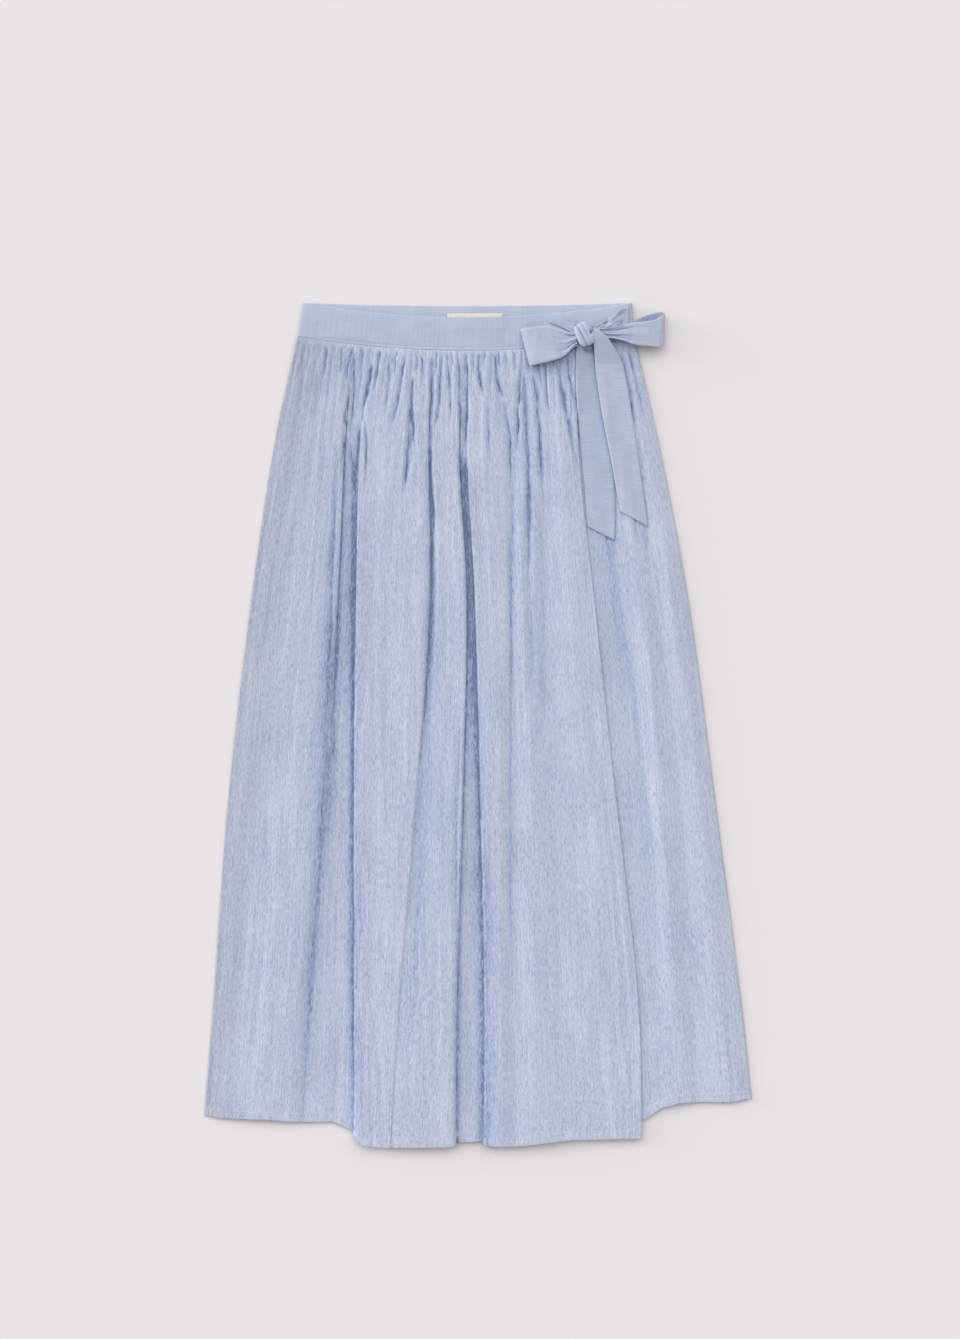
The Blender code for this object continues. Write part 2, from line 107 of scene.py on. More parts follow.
def noise(across, along, seed):
    """Smooth uneven field from -1 to 1, that changes about once a unit each way."""
    table = np.random.default_rng(seed).uniform(-1, 1, (NOISE_CELLS, NOISE_CELLS))
    i, j = np.floor(across).astype(int), np.floor(along).astype(int)
    s, t = ease(across - i), ease(along - j)
    i, j, i_next, j_next = (k % NOISE_CELLS for k in (i, j, i + 1, j + 1))
    low = mix(table[i, j], table[i_next, j], s)
    high = mix(table[i, j_next], table[i_next, j_next], s)
    return mix(low, high, t)


def top_of(x, y):
    """Height of the highest cloth laid so far at each place, or 0 on the bare table."""
    top = np.zeros(x.shape)
    down = Vector((0, 0, -1))
    for spot in np.ndindex(x.shape):
        start = Vector((x[spot], y[spot], RAY_START))
        for tree in laid:
            hit = tree.ray_cast(start, down)[0]
            if hit and hit.z > top[spot]:
                top[spot] = hit.z
    return top


def widest(heights):
    """Each height raised to the highest of the ones round it."""
    padded = np.pad(heights, 1, mode="edge")
    rows, columns = heights.shape
    around = [padded[a:a + rows, b:b + columns] for a in range(3) for b in range(3)]
    return np.max(around, axis=0)


def softened(heights, passes):
    """Heights with their sharp corners rounded."""
    for _ in range(passes):
        padded = np.pad(heights, 1, mode="edge")
        near = padded[:-2, 1:-1] + padded[2:, 1:-1] + padded[1:-1, :-2] + padded[1:-1, 2:]
        heights = heights / 2 + near / 8
    return heights


def rest_on(points, half):
    """Raise a sheet's middle so that it clears all that lies under it."""
    least = widest(top_of(points[..., 0], points[..., 1]))
    least = np.where(least > 0, least + CLEARANCE, TABLE_CLEARANCE) + half
    points[..., 2] = np.maximum(points[..., 2], least)
    return least


def settle(points, least, times, passes):
    """Let a stiff sheet bridge the hollows under it, and keep it clear of what lies there."""
    for _ in range(times):
        points[..., 2] = np.maximum(softened(points[..., 2], passes), least)


def edge_taper(rows, columns, sides="lrtb", least=0.35):
    """Share of the wall left at each point, thinner at the edges named, to round them."""
    taper = np.ones((rows, columns))
    for step, share in ((0, least), (1, mix(least, 1, 0.75))):
        edges = {"l": taper[:, step], "r": taper[:, -1 - step],
                 "t": taper[step], "b": taper[-1 - step]}
        for side in sides:
            edges[side] *= share
    return taper


def fold_shade(middle):
    """Painted shade from 0 to 1, by how far each point lies down in a fold, so the cloth looks deeper.
    """
    depth = np.zeros(middle.shape[:2])
    for row in range(len(middle)):
        steps = np.hypot(*np.diff(middle[row, :, :2], axis=0).T)
        place = np.concatenate([[0], np.cumsum(steps)])
        even = np.arange(0, place[-1] + FOLD_SHADE_STEP, FOLD_SHADE_STEP)
        height = np.interp(even, place, middle[row, :, 2])
        for reach, full in FOLD_SHADE_REACHES:
            cells = int(reach / FOLD_SHADE_STEP)
            wide = np.pad(height, cells, mode="edge")
            sums = np.cumsum(np.concatenate([[0], wide]))
            mean = (sums[2 * cells + 1:] - sums[:-2 * cells - 1]) / (2 * cells + 1)
            low = np.interp(place, even, (mean - height) / full)
            depth[row] = np.maximum(depth[row], low)
    return np.clip(depth, 0, 1)


def put(name, data):
    """A new object in the scene, at the origin."""
    thing = bpy.data.objects.new(name, data)
    bpy.context.scene.collection.objects.link(thing)
    return thing


def cloth_piece(name, verts, faces, flat, depth, material):
    """A piece from its places and faces, with its UV map on the cloth and its painted shade."""
    mesh = bpy.data.meshes.new(name)
    mesh.from_pydata((verts * METRES).tolist(), [], faces)
    corners = [spot for face in faces for spot in face]
    mesh.uv_layers.new(name="cloth").data.foreach_set("uv", (flat * METRES)[corners].ravel())
    painted_shade = mesh.attributes.new("painted_shade", "FLOAT", "POINT")
    painted_shade.data.foreach_set("value", np.clip(depth, 0, 1).ravel())
    mesh.materials.append(material)
    mesh.shade_smooth()
    return put(name, mesh)


def cloth_shell(name, middle, half, spread, material, shade=0.0):
    """Closed shell round a sheet's middle, with its flat place on the cloth as its UV map and painted
    shade.
    """
    rows, columns = middle.shape[:2]
    normal = np.cross(np.gradient(middle, axis=0), np.gradient(middle, axis=1))
    normal /= np.maximum(np.linalg.norm(normal, axis=2, keepdims=True), 1e-9)
    offset = normal * (np.ones((rows, columns)) * half)[..., None]
    verts = np.concatenate([(middle + offset).reshape(-1, 3), (middle - offset).reshape(-1, 3)])
    index = np.arange(rows * columns).reshape(rows, columns)
    below = index + rows * columns
    upper = np.stack([index[:-1, :-1], index[1:, :-1], index[1:, 1:], index[:-1, 1:]], -1)
    lower = np.stack([below[:-1, :-1], below[:-1, 1:], below[1:, 1:], below[1:, :-1]], -1)
    ring = np.concatenate([index[:-1, 0], index[-1, :-1], index[:0:-1, -1], index[0, :0:-1]])
    ahead = np.roll(ring, -1)
    rim = np.stack([ring, ring + rows * columns, ahead + rows * columns, ahead], -1)
    faces = np.concatenate([upper.reshape(-1, 4), lower.reshape(-1, 4), rim]).tolist()
    laid.append(BVHTree.FromPolygons(verts.tolist(), faces))
    flat = np.tile(spread.reshape(-1, 2), (2, 1))
    return cloth_piece(name, verts, faces, flat, np.tile(fold_shade(middle) + shade, (2, 1)), material)


def paint_shadow_beside(piece, edge, reach, most):
    """Paint shadow on a piece close to the edge of a sheet that lies on it."""
    mesh = piece.data
    spots = np.empty(len(mesh.vertices) * 3)
    mesh.vertices.foreach_get("co", spots)
    spots = spots.reshape(-1, 3)[:, :2] / METRES
    spans = np.linalg.norm(np.diff(edge[:, :2], axis=0), axis=1)
    place = np.concatenate([[0], np.cumsum(spans)])
    fine = np.arange(0, place[-1], EDGE_STEP)
    line = np.stack([np.interp(fine, place, edge[:, k]) for k in range(2)], -1)
    near = (spots > line.min(0) - 4 * reach).all(1) & (spots < line.max(0) + 4 * reach).all(1)
    gap = np.sqrt(((spots[near][:, None] - line[None]) ** 2).sum(-1).min(1))
    values = np.empty(len(spots))
    mesh.attributes["painted_shade"].data.foreach_get("value", values)
    values[near] = np.clip(values[near] + most * np.exp(-gap / reach), 0, 1)
    mesh.attributes["painted_shade"].data.foreach_set("value", values)


# Painted shade: what a colour is multiplied by in the deepest folds, and at the side edge
# of the front.
DEEPEST_SHADE = (0.38, 0.43, 0.57)
EDGE_SHADE_COLOUR = (0.80, 0.80, 0.785, 1.0)
SHADE_STARTS, SHADE_HALFWAY = 0.05, 0.45
FIBRE_ROUGHNESS, FIBRE_SHINE, FUZZ_ROUGHNESS = 0.92, 0.18, 0.55


def feed(tree, socket, value):
    """Link a field to an input, or set the input to a plain value."""
    if isinstance(value, bpy.types.NodeSocket):
        tree.links.new(value, socket)
    else:
        socket.default_value = value


def add_node(tree, kind, **settings):
    """A node with its settings, and with the inputs whose names start with a capital."""
    node = tree.nodes.new(kind)
    for key, value in settings.items():
        if not key[0].isupper():
            setattr(node, key, value)
    for key, value in settings.items():
        if key[0].isupper():
            feed(tree, node.inputs[key.replace("_", " ")], value)
    return node


def new_material(name, **looks):
    """A new material, with the inputs of its shader that are given."""
    material = bpy.data.materials.new(name)
    material.use_nodes = True
    shader = material.node_tree.nodes["Principled BSDF"]
    for key, value in looks.items():
        shader.inputs[key.replace("_", " ")].default_value = value
    return material, shader


def maths(tree, operation, *values):
    """A sum or product of fields and plain values."""
    node = add_node(tree, "ShaderNodeMath", operation=operation)
    for socket, value in zip(node.inputs, values):
        feed(tree, socket, value)
    return node.outputs[0]


def tinted(tree, field, stops):
    """A field turned to colour, through stops that each give a place and a colour."""
    ramp = add_node(tree, "ShaderNodeValToRGB", Fac=field)
    elements = ramp.color_ramp.elements
    while len(elements) < len(stops):
        elements.new(0.5)
    for element, (place, colour) in zip(elements, stops):
        element.position = place
        element.color = (*colour, 1.0)
    return ramp.outputs["Color"]


def multiplied(tree, share, first, second):
    """The first colour times a share of the second."""
    node = add_node(tree, "ShaderNodeMix", data_type="RGBA", blend_type="MULTIPLY")
    for place, value in ((0, share), (6, first), (7, second)):
        feed(tree, node.inputs[place], value)
    return node.outputs[2]


def streaks(tree, parts):
    """Sum of noises on the cloth's own UV map, each times its weight.

    A part is (weight, (waves a metre across, along), detail, roughness, distortion).
    """
    total = 0.0
    for weight, scale, detail, roughness, distortion in parts:
        place = add_node(tree, "ShaderNodeUVMap", uv_map="cloth")
        stretch = add_node(tree, "ShaderNodeMapping", Vector=place.outputs["UV"],
                           Scale=(*scale, 1.0))
        field = add_node(tree, "ShaderNodeTexNoise", noise_dimensions="2D",
                         Vector=stretch.outputs["Vector"], Scale=1.0, Detail=detail,
                         Roughness=roughness, Distortion=distortion)
        total = maths(tree, "MULTIPLY_ADD", field.outputs["Fac"], weight, total)
    return total


def cotton(name, colours, half_shade, shade_parts, relief_parts, relief, sheen, lively=0.0,
           shade_breakup=0.0):
    """Matt cotton: its yarns' colours by one set of streaks, its relief by another.

    Painted shade in the folds darkens the yarns' colour, through a half-shade colour to the
    deepest shade, and painted shade darkens the front's side edge. The relief is livelier in the
    folds, and breaks up their painted shade.
    """
    material, shader = new_material(
        name, Roughness=FIBRE_ROUGHNESS, Specular_IOR_Level=FIBRE_SHINE, Sheen_Weight=sheen,
        Sheen_Roughness=FUZZ_ROUGHNESS)
    tree = material.node_tree
    painted_shade = add_node(tree, "ShaderNodeAttribute", attribute_name="painted_shade").outputs["Fac"]
    painted_edge_shade = add_node(tree, "ShaderNodeAttribute", attribute_name="painted_edge_shade").outputs["Fac"]
    height = streaks(tree, relief_parts)
    # Painted shade in the folds, broken up by the relief, darkens the yarns' colour.
    uneven = maths(tree, "MULTIPLY_ADD", height, -shade_breakup, 1.0 + shade_breakup / 2)
    depth = tinted(tree, maths(tree, "MULTIPLY", painted_shade, uneven),
                   ((SHADE_STARTS, (1, 1, 1)), (SHADE_HALFWAY, half_shade), (1.0, DEEPEST_SHADE)))
    colour = multiplied(tree, 1.0, tinted(tree, streaks(tree, shade_parts), colours), depth)
    # Painted shade at the front's side edge.
    feed(tree, shader.inputs["Base Color"], multiplied(tree, painted_edge_shade, colour, EDGE_SHADE_COLOUR))
    raised = maths(tree, "MULTIPLY", height, maths(tree, "MULTIPLY_ADD", painted_shade, lively, 1.0))
    bump = add_node(tree, "ShaderNodeBump", Strength=1.0, Distance=relief * METRES, Height=raised)
    feed(tree, shader.inputs["Normal"], bump.outputs["Normal"])
    return material


def band_point(share, depth, dip):
    """Places on a waistband: a share of the way across, a share of its height down."""
    left = mix(WAIST_LEFT, SEAM_LEFT, depth)
    right = mix(WAIST_RIGHT, SEAM_RIGHT, depth)
    y = WAIST_TOP - dip * (1 - (2 * share - 1) ** 2) - BAND_HEIGHT * depth
    return np.stack([mix(left, right, share), y, np.zeros_like(y)], -1)


band_cotton = cotton(
    "band_cotton",
    ((0.30, (0.38, 0.43, 0.56)), (0.52, (0.465, 0.51, 0.635)), (0.75, (0.55, 0.585, 0.69))),
    (0.80, 0.83, 0.90),
    ((0.55, (1100, 26), 3, 0.6, 0.1), (0.25, (26, 1100), 2, 0.5, 0.1),
     (0.20, (45, 60), 2, 0.5, 0.2)),
    ((0.6, (1100, 60), 2, 0.5, 0.1), (0.4, (60, 1100), 2, 0.5, 0.1)),
    0.12, 0.12)


def make_band(name, dip, seed):
    """Half of the waistband, from side to side, laid on what is under it."""
    share, depth = np.meshgrid(np.linspace(0, 1, BAND_COLUMNS), BAND_DEPTHS)
    points = band_point(share, depth, dip)
    length = SEAM_RIGHT - SEAM_LEFT
    spread = np.stack([share * length, depth * BAND_HEIGHT], -1)
    least = rest_on(points, BAND_HALF)
    settle(points, least, BAND_SETTLING, 2)
    wave = noise(share * length / 26, depth * 1.3, seed) * 0.22
    wave += noise(share * length / 9, depth * 2.1, seed + 1) * 0.08
    points[..., 2] += (wave + 0.3) * ease(depth * 6) * ease((1 - depth) * 6)
    up = (1 - depth) * BAND_HEIGHT
    points[..., 2] += 0.16 * bell(up - PRESSED_EDGE, 0.9) - 0.14 * bell(up - STITCH_GROOVE, 0.8)
    half = BAND_HALF * edge_taper(*points.shape[:2], "lrtb", 0.3)
    return cloth_shell(name, points, half, spread, band_cotton), points


back_band, _ = make_band("back_waistband", BACK_DIP, 11)
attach(back_band, "root")
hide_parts("waistband_back")

# Back panel.
# One width of crinkled cotton, gathered into the back waistband, that lies flat on the table
# under the front. Only its edges show. Its lower edge has a narrow turned hem.

CLOTH_HALF = 0.36
HEM_DEPTH, HEM_EXTRA, HEM_STITCHES_UP = 9.0, 0.34, 2.2
TURN_STARTS, TURN_OVER = 0.6, 1.4
STITCH_DENT, STITCH_DENT_REACH = 0.8, 0.8
BACK_GATHERS = 42
BACK_HEM_LEFT, BACK_HEM_RIGHT = 872.0, 855.0
BACK_SEAM_GAP, FRONT_SEAM_GAP = 0.3, 0.15
DROPS = (158.0, 320.0, 536.0, 752.0)
FAN_TOP, FAN_WIDTH = 40.0, 560.0
BACK_COLUMNS = 211
BACK_SIDE_INSET, BACK_HEM_INSET = 2.2, 1.5
BACK_REACH_LEAST, BACK_REACH_MOST = 60, 190
BACK_LENGTH = 840.0

# A fold line runs from the seam to the hem. Its x and the height z of the middle of the
# cloth are given at these drops below the top of the waistband, and hem is its own last
# drop. gathers is the number of gathers between it and the fold line before it.
Fold = namedtuple("Fold", "name gathers x_seam x_158 x_320 x_536 x_752 x_hem hem "
                          "z_seam z_158 z_320 z_536 z_752 z_hem")

FRONT_FOLDS = rows_of(Fold, (
    ("side_edge", 0, -195, -220.5, -244.5, -269.5, -285.5, -295.5, 877, 3.6, 1.6, 1.6, 1.6, 1.6, 1.6),
    ("side_roll", 2, -182.5, -204, -227, -250.5, -265.5, -276.5, 880, 3.9, 4.5, 4.5, 4.5, 4.5, 4),
    ("crest_1", 3, -160, -173, -187, -205, -222.5, -233.5, 881, 3.9, 6, 7, 7.5, 7.5, 6.5),
    ("trough_a_left", 3, -138, -144, -152.5, -170, -194, -206, 883, 3.9, 6.5, 7.5, 7.5, 6.5, 5.5),
    ("trough_a_floor", 0.5, -134, -144, -150.5, -160.5, -177.5, -186, 884, 3.9, 3.6, 3.2, 3, 3, 3.2),
    ("trough_a_bend", 1, -124, -135, -141, -148, -156, -156, 883.5, 3.9, 3.6, 3.2, 3, 3, 3.2),
    ("trough_a_foot", 1, -115.5, -127, -132, -134.5, -134.5, -135, 893, 3.9, 3.6, 3.2, 3, 3, 3.2),
    ("trough_a_right", 0.5, -109, -126.5, -130, -132, -131.5, -130.5, 906, 3.9, 6.5, 8.5, 9, 9.5, 9.5),
    ("crest_2", 4, -80, -93, -95, -102.5, -112.5, -116.5, 910, 3.9, 6.5, 8, 9, 9.5, 9.5),
    ("trough_b_left", 4, -53, -54.2, -53.2, -68.2, -85.7, -95.2, 911, 3.9, 6.5, 8.5, 9, 9.5, 9.5),
    ("trough_b", 0.5, -47.5, -53, -50.5, -66, -84, -94.5, 910, 3.9, 4.5, 3.8, 7.2, 8.6, 9),
    ("trough_b_right", 0.5, -42, -46.5, -43, -54, -75.5, -88.5, 911, 3.9, 6.5, 8.5, 8.5, 9.5, 9.5),
    ("crest_3", 2, -30, -33.5, -30, -36.5, -47.5, -57, 911, 3.9, 6.5, 8, 9, 9.5, 9.5),
    ("trough_c_left", 2, -18.5, -20.7, -13.2, -17.7, -24.2, -25.2, 910, 3.9, 6.5, 8.5, 9.5, 9.5, 9.5),
    ("trough_c_floor", 0.5, -13.5, -20, -12, -16, -22, -23, 906, 3.9, 4, 3.6, 4.3, 4.9, 5.2),
    ("trough_c_foot", 0.5, -8.5, -12, -4, 1.5, 6, 5, 904.5, 3.9, 4, 3.6, 4.3, 4.9, 5.2),
    ("trough_c_right", 0.5, -4, -10.3, -2.3, 4, 8.7, 7.7, 909, 3.9, 6.5, 8.5, 9.5, 10, 10),
    ("crest_4", 2, 15, 11, 17.5, 21.5, 24, 24, 910, 3.9, 7, 8.5, 9.5, 10, 10),
    ("trough_d", 2, 33.5, 34.5, 35.5, 35.5, 36, 38, 910, 3.9, 5.5, 6.5, 7, 7.5, 8.5),
    ("crest_5", 2, 47.5, 45.5, 49.5, 56, 61.5, 65, 907, 3.9, 6.5, 8.5, 9, 9.5, 9.5),
    ("trough_e", 2, 63.5, 68, 73.5, 84, 95, 101.5, 903, 3.9, 6, 6.5, 6.5, 7, 7.5),
    ("crest_6", 3, 87.5, 89.5, 102.5, 122, 140.5, 147, 902, 3.9, 7.5, 7.5, 7, 7, 7),
    ("wrap_edge", 3, 107, 108.5, 125.5, 149, 173, 177, 902, 3.9, 5, 5, 5, 5, 5),
))

UNDER_FOLDS = rows_of(Fold, (
    ("hidden_edge", 0, 68, 67, 72.5, 84, 95, 101.5, 895, 2.4, 2.4, 2.4, 2.4, 2.4, 2.4),
    ("under_wrap_edge", 2, 107, 108.5, 125.5, 149, 173.5, 180.5, 881, 2.6, 3.6, 3.4, 3.4, 3.4, 3.4),
    ("trough_f", 1.5, 119, 128.5, 152.5, 176, 191, 197.5, 869, 3.4, 4, 3.4, 3.4, 4, 4.5),
    ("crest_7", 1.5, 132, 148, 177, 196.5, 211.5, 218, 863.5, 3.9, 6, 7, 7, 6.5, 5.5),
    ("trough_g", 1.5, 144.5, 166.5, 192, 215, 230, 242, 862.5, 3.9, 4.5, 4.5, 4, 3.4, 3),
    ("crest_8", 1.5, 156.5, 181.5, 209.5, 236.5, 260.5, 272, 862.5, 3.9, 5.5, 6, 5.5, 5, 4.5),
    ("side_edge", 1.5, 168, 196.5, 227, 256, 284, 295.5, 859, 3.6, 1.6, 1.6, 1.6, 1.6, 1.6),
))

# The back panel's long soft folds, each at a share of the way across at waist and at hem.
Channel = namedtuple("Channel", "at_waist at_hem width lift")
BACK_CHANNELS = rows_of(Channel, (
    (0.10, 0.105, 40, 2.5),
    (0.32, 0.305, 34, 3.5),
    (0.455, 0.41, 44, 3.5),
    (0.58, 0.535, 30, 3.5),
    (0.67, 0.615, 36, 3.5),
    (0.78, 0.745, 40, 2.0),
    (0.90, 0.87, 44, 2.0),
))

crinkled_cotton = cotton(
    "crinkled_cotton",
    ((0.36, (0.36, 0.405, 0.565)), (0.50, (0.50, 0.54, 0.67)), (0.66, (0.62, 0.645, 0.745))),
    (0.77, 0.825, 0.94),
    ((0.42, (600, 150), 2, 0.6, 0.5), (0.22, (1100, 320), 1, 0.5, 0.3),
     (0.24, (700, 8), 3, 0.6, 0.1), (0.12, (30, 14), 2, 0.5, 0.3)),
    ((0.36, (560, 140), 2, 0.5, 0.5), (0.18, (1000, 300), 1, 0.5, 0.3),
     (0.26, (300, 75), 2, 0.5, 0.9), (0.20, (170, 30), 2, 0.5, 0.6)),
    0.85, 0.15, 1.3, 4.0)


def places_of(fold):
    """The x of a fold line at the seam, at the drops and at the hem."""
    return fold.x_seam, fold.x_158, fold.x_320, fold.x_536, fold.x_752, fold.x_hem


def fan(x, drop):
    """Place across the cloth as it fans out, in millimetres from the left side."""
    left, right = (smooth((FAN_TOP,) + DROPS + (fold.hem,), places_of(fold), drop)
                   for fold in (FRONT_FOLDS[0], UNDER_FOLDS[-1]))
    return (x - left) / (right - left) * FAN_WIDTH


def panel_shares(length):
    """Shares of the way down at which a panel has rows: closest by the waist and the hem."""
    near = np.concatenate([np.arange(0, 16, 1.6), np.arange(16, 110, 2.9)])
    middle = np.arange(110, 300, 4.8)
    low = np.arange(300, length - 16, 8.0)
    hem = length - np.array([14, 11.5, 10, 9, 8, 7, 6, 5, 3.6, 2.2, 1.0, 0.3, 0])
    return np.concatenate([near, middle, low, hem]) / length


def turned_in(inside, depth):
    """Share of the turned layer at places that far inside an edge."""
    return ease((depth + TURN_STARTS - inside) / TURN_OVER)


def turned_wall(inside, depth, extra, stitches):
    """Extra half wall of a turned edge, with the dent of its row of stitches."""
    dent = STITCH_DENT * bell(inside - depth + stitches, STITCH_DENT_REACH)
    return extra * turned_in(inside, depth) * (1 - dent)


def crinkle(across, drop, seed):
    """Height of the crinkles: long uneven ridges down the cloth, and short puckers."""
    sway = noise(across / 45, drop / 130, seed) * 6 + noise(across / 16, drop / 60, seed + 1) * 2
    long_ridge = 1 - 2 * np.abs(noise((across + sway) / 9.5, drop / 120, seed + 2))
    ridge = noise((across + sway) / 5.5, drop / 42, seed + 3)
    pucker = noise((across + sway * 0.5) / 3.2, drop / 17, seed + 4)
    return 0.34 * long_ridge + 0.24 * ridge + 0.13 * pucker


def hem_gather(across, up, seed):
    """Height of the small puckers that the hem's stitching draws up."""
    return 0.28 * noise(across / 4.2, up / 30, seed) * bell(up, 14)


def fold_lines(folds, shares):
    """Points of each fold line at the shares of its way from the seam to the hem."""
    lines = []
    for fold in folds:
        share = (fold.x_seam - SEAM_LEFT) / (SEAM_RIGHT - SEAM_LEFT)
        seam_y = band_point(np.array(share), 1, FRONT_DIP)[1] - FRONT_SEAM_GAP
        y = mix(seam_y, WAIST_TOP - fold.hem, shares)
        drop = WAIST_TOP - y
        knots = (WAIST_TOP - seam_y,) + DROPS + (fold.hem,)
        heights = (fold.z_seam, fold.z_158, fold.z_320, fold.z_536, fold.z_752, fold.z_hem)
        lines.append(np.stack([smooth(knots, places_of(fold), drop), y,
                               smooth(knots, heights, drop)], -1))
    return lines


def lift_of_channels(share, across, width):
    """How far the channels lift the back panel at each place."""
    lift = np.zeros_like(share)
    for channel in BACK_CHANNELS:
        middle = mix(channel.at_waist, channel.at_hem, share)
        away = np.abs(across - middle) / (channel.width / width / 2)
        rise = channel.lift * np.minimum(share / 0.15, 1) * (1 + np.cos(np.pi * away)) / 2
        lift += np.where(away < 1, rise, 0)
    return lift


def make_back_panel():
    """The back panel, gathered at the waist, with its underside on the table."""
    shares = panel_shares(BACK_LENGTH)[::2]
    left = fold_lines(FRONT_FOLDS[:1], shares)[0]
    right = fold_lines(UNDER_FOLDS[-1:], shares)[0]
    across, share = np.meshgrid(np.linspace(0, 1, BACK_COLUMNS), shares)
    side = BACK_SIDE_INSET * ease(share * 10)
    x = mix(left[:, :1] + side, right[:, :1] - side, across)
    seam_y = band_point(across, 1, BACK_DIP)[..., 1] - BACK_SEAM_GAP
    hem_y = WAIST_TOP - mix(BACK_HEM_LEFT, BACK_HEM_RIGHT, across) + BACK_HEM_INSET
    y = mix(seam_y, hem_y, share)
    hem_x = fan(x, WAIST_TOP - y)
    up = y - hem_y
    number = across * BACK_GATHERS
    reach = mix(BACK_REACH_LEAST, BACK_REACH_MOST, 0.5 + 0.5 * np.sin(2.4 * np.round(number)))
    below = share * BACK_HEM_LEFT
    wave = np.exp(-below / reach) * np.abs(np.sin(np.pi * number)) * ease(below / 20)
    lift = lift_of_channels(share, across, (right - left)[:, :1])
    z = CLOTH_HALF + 0.1 + wave + lift + 0.5 * (crinkle(hem_x, below, 21) + 0.6)
    z += hem_gather(hem_x, up, 22)
    half = CLOTH_HALF + turned_wall(up, HEM_DEPTH, HEM_EXTRA, HEM_STITCHES_UP)
    z = np.maximum(z, half + 0.05)
    half = half * edge_taper(*z.shape)
    spread = np.stack([hem_x, below], -1)
    return cloth_shell("back_skirt", np.stack([x, y, z], -1), half, spread, crinkled_cotton)


back_skirt = make_back_panel()
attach(back_skirt, "root")
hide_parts("back_panel")

# Label.
# A short cream woven tape, sewn flat inside the back waistband along its edge. It is left
# bare, and its lower part is hidden by the front waistband.

LABEL_WIDTH, LABEL_HEIGHT = 60.0, 16.0
LABEL_X, LABEL_TOP = -3.0, 444.0
LABEL_HALF = 0.3
LABEL_ROWS, LABEL_COLUMNS = 17, 61

label_tape = cotton(
    "label_tape",
    ((0.30, (0.65, 0.60, 0.53)), (0.50, (0.745, 0.69, 0.615)), (0.75, (0.815, 0.77, 0.70))),
    (0.8, 0.8, 0.8),
    ((0.5, (1300, 90), 2, 0.5, 0.1), (0.5, (90, 1300), 2, 0.5, 0.1)),
    ((0.5, (1300, 90), 2, 0.5, 0.1), (0.5, (90, 1300), 2, 0.5, 0.1)),
    0.1, 0.2)

label_x, label_y = np.meshgrid(np.linspace(-0.5, 0.5, LABEL_COLUMNS),
                               np.linspace(0, 1, LABEL_ROWS))
label_points = np.stack([LABEL_X + LABEL_WIDTH * label_x, LABEL_TOP - LABEL_HEIGHT * label_y,
                         np.zeros_like(label_x)], -1)
rest_on(label_points, LABEL_HALF)
label_points[..., 2] = softened(label_points[..., 2], 4) + 0.1
label = cloth_shell("bare_label", label_points,
                    LABEL_HALF * edge_taper(LABEL_ROWS, LABEL_COLUMNS),
                    label_points[..., :2], label_tape)
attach(label, "root")
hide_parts("waist_label")

# Waistband, front half.
# The same pressed strip as the back half, sewn to it at the sides. It dips in the middle,
# lies on the back half and the label, and its lower edge is sewn over the gathers.

THREAD_WIDTH = 0.32
STITCH_LENGTH, STITCH_PITCH = 2.1, 3.0
STITCH_UNEVEN = (0.85, 1.12)
EDGE_STITCH_DEPTH = 0.91

stitch_tree = bpy.data.node_groups.new("stitches", "GeometryNodeTree")
stitch_inputs = {}
for socket_name, kind in (("Lines", "Geometry"), ("Pitch", "Float"), ("Length", "Float"),
                          ("Width", "Float"), ("Seed", "Int"), ("Thread", "Material")):
    stitch_inputs[socket_name] = stitch_tree.interface.new_socket(
        socket_name, in_out="INPUT", socket_type="NodeSocket" + kind)
stitch_tree.interface.new_socket("Stitches", in_out="OUTPUT", socket_type="NodeSocketGeometry")
given = add_node(stitch_tree, "NodeGroupInput").outputs
curve = add_node(stitch_tree, "GeometryNodeMeshToCurve", Mesh=given["Lines"])
evenly = add_node(stitch_tree, "GeometryNodeResampleCurve", mode="LENGTH",
                  Curve=curve.outputs["Curve"], Length=given["Pitch"])
grain = add_node(stitch_tree, "GeometryNodeMeshIcoSphere", Radius=0.5, Subdivisions=1)
tangent = add_node(stitch_tree, "GeometryNodeInputTangent")
turned_along = add_node(stitch_tree, "FunctionNodeAlignRotationToVector", axis="X",
                        Vector=tangent.outputs["Tangent"])
uneven = add_node(stitch_tree, "FunctionNodeRandomValue", data_type="FLOAT", Seed=given["Seed"])
uneven.inputs[2].default_value, uneven.inputs[3].default_value = STITCH_UNEVEN
long_size = maths(stitch_tree, "MULTIPLY", uneven.outputs[1], given["Length"])
grain_size = add_node(stitch_tree, "ShaderNodeCombineXYZ", X=long_size, Y=given["Width"],
                      Z=given["Width"])
placed = add_node(stitch_tree, "GeometryNodeInstanceOnPoints", Points=evenly.outputs["Curve"],
                  Instance=grain.outputs["Mesh"], Rotation=turned_along.outputs["Rotation"],
                  Scale=grain_size.outputs["Vector"])
real = add_node(stitch_tree, "GeometryNodeRealizeInstances",
                Geometry=placed.outputs["Instances"])
painted = add_node(stitch_tree, "GeometryNodeSetMaterial", Geometry=real.outputs["Geometry"],
                   Material=given["Thread"])
add_node(stitch_tree, "NodeGroupOutput", Stitches=painted.outputs["Geometry"])

cotton_thread, _ = new_material("cotton_thread", Base_Color=(0.56, 0.59, 0.70, 1.0),
                                Roughness=0.8)


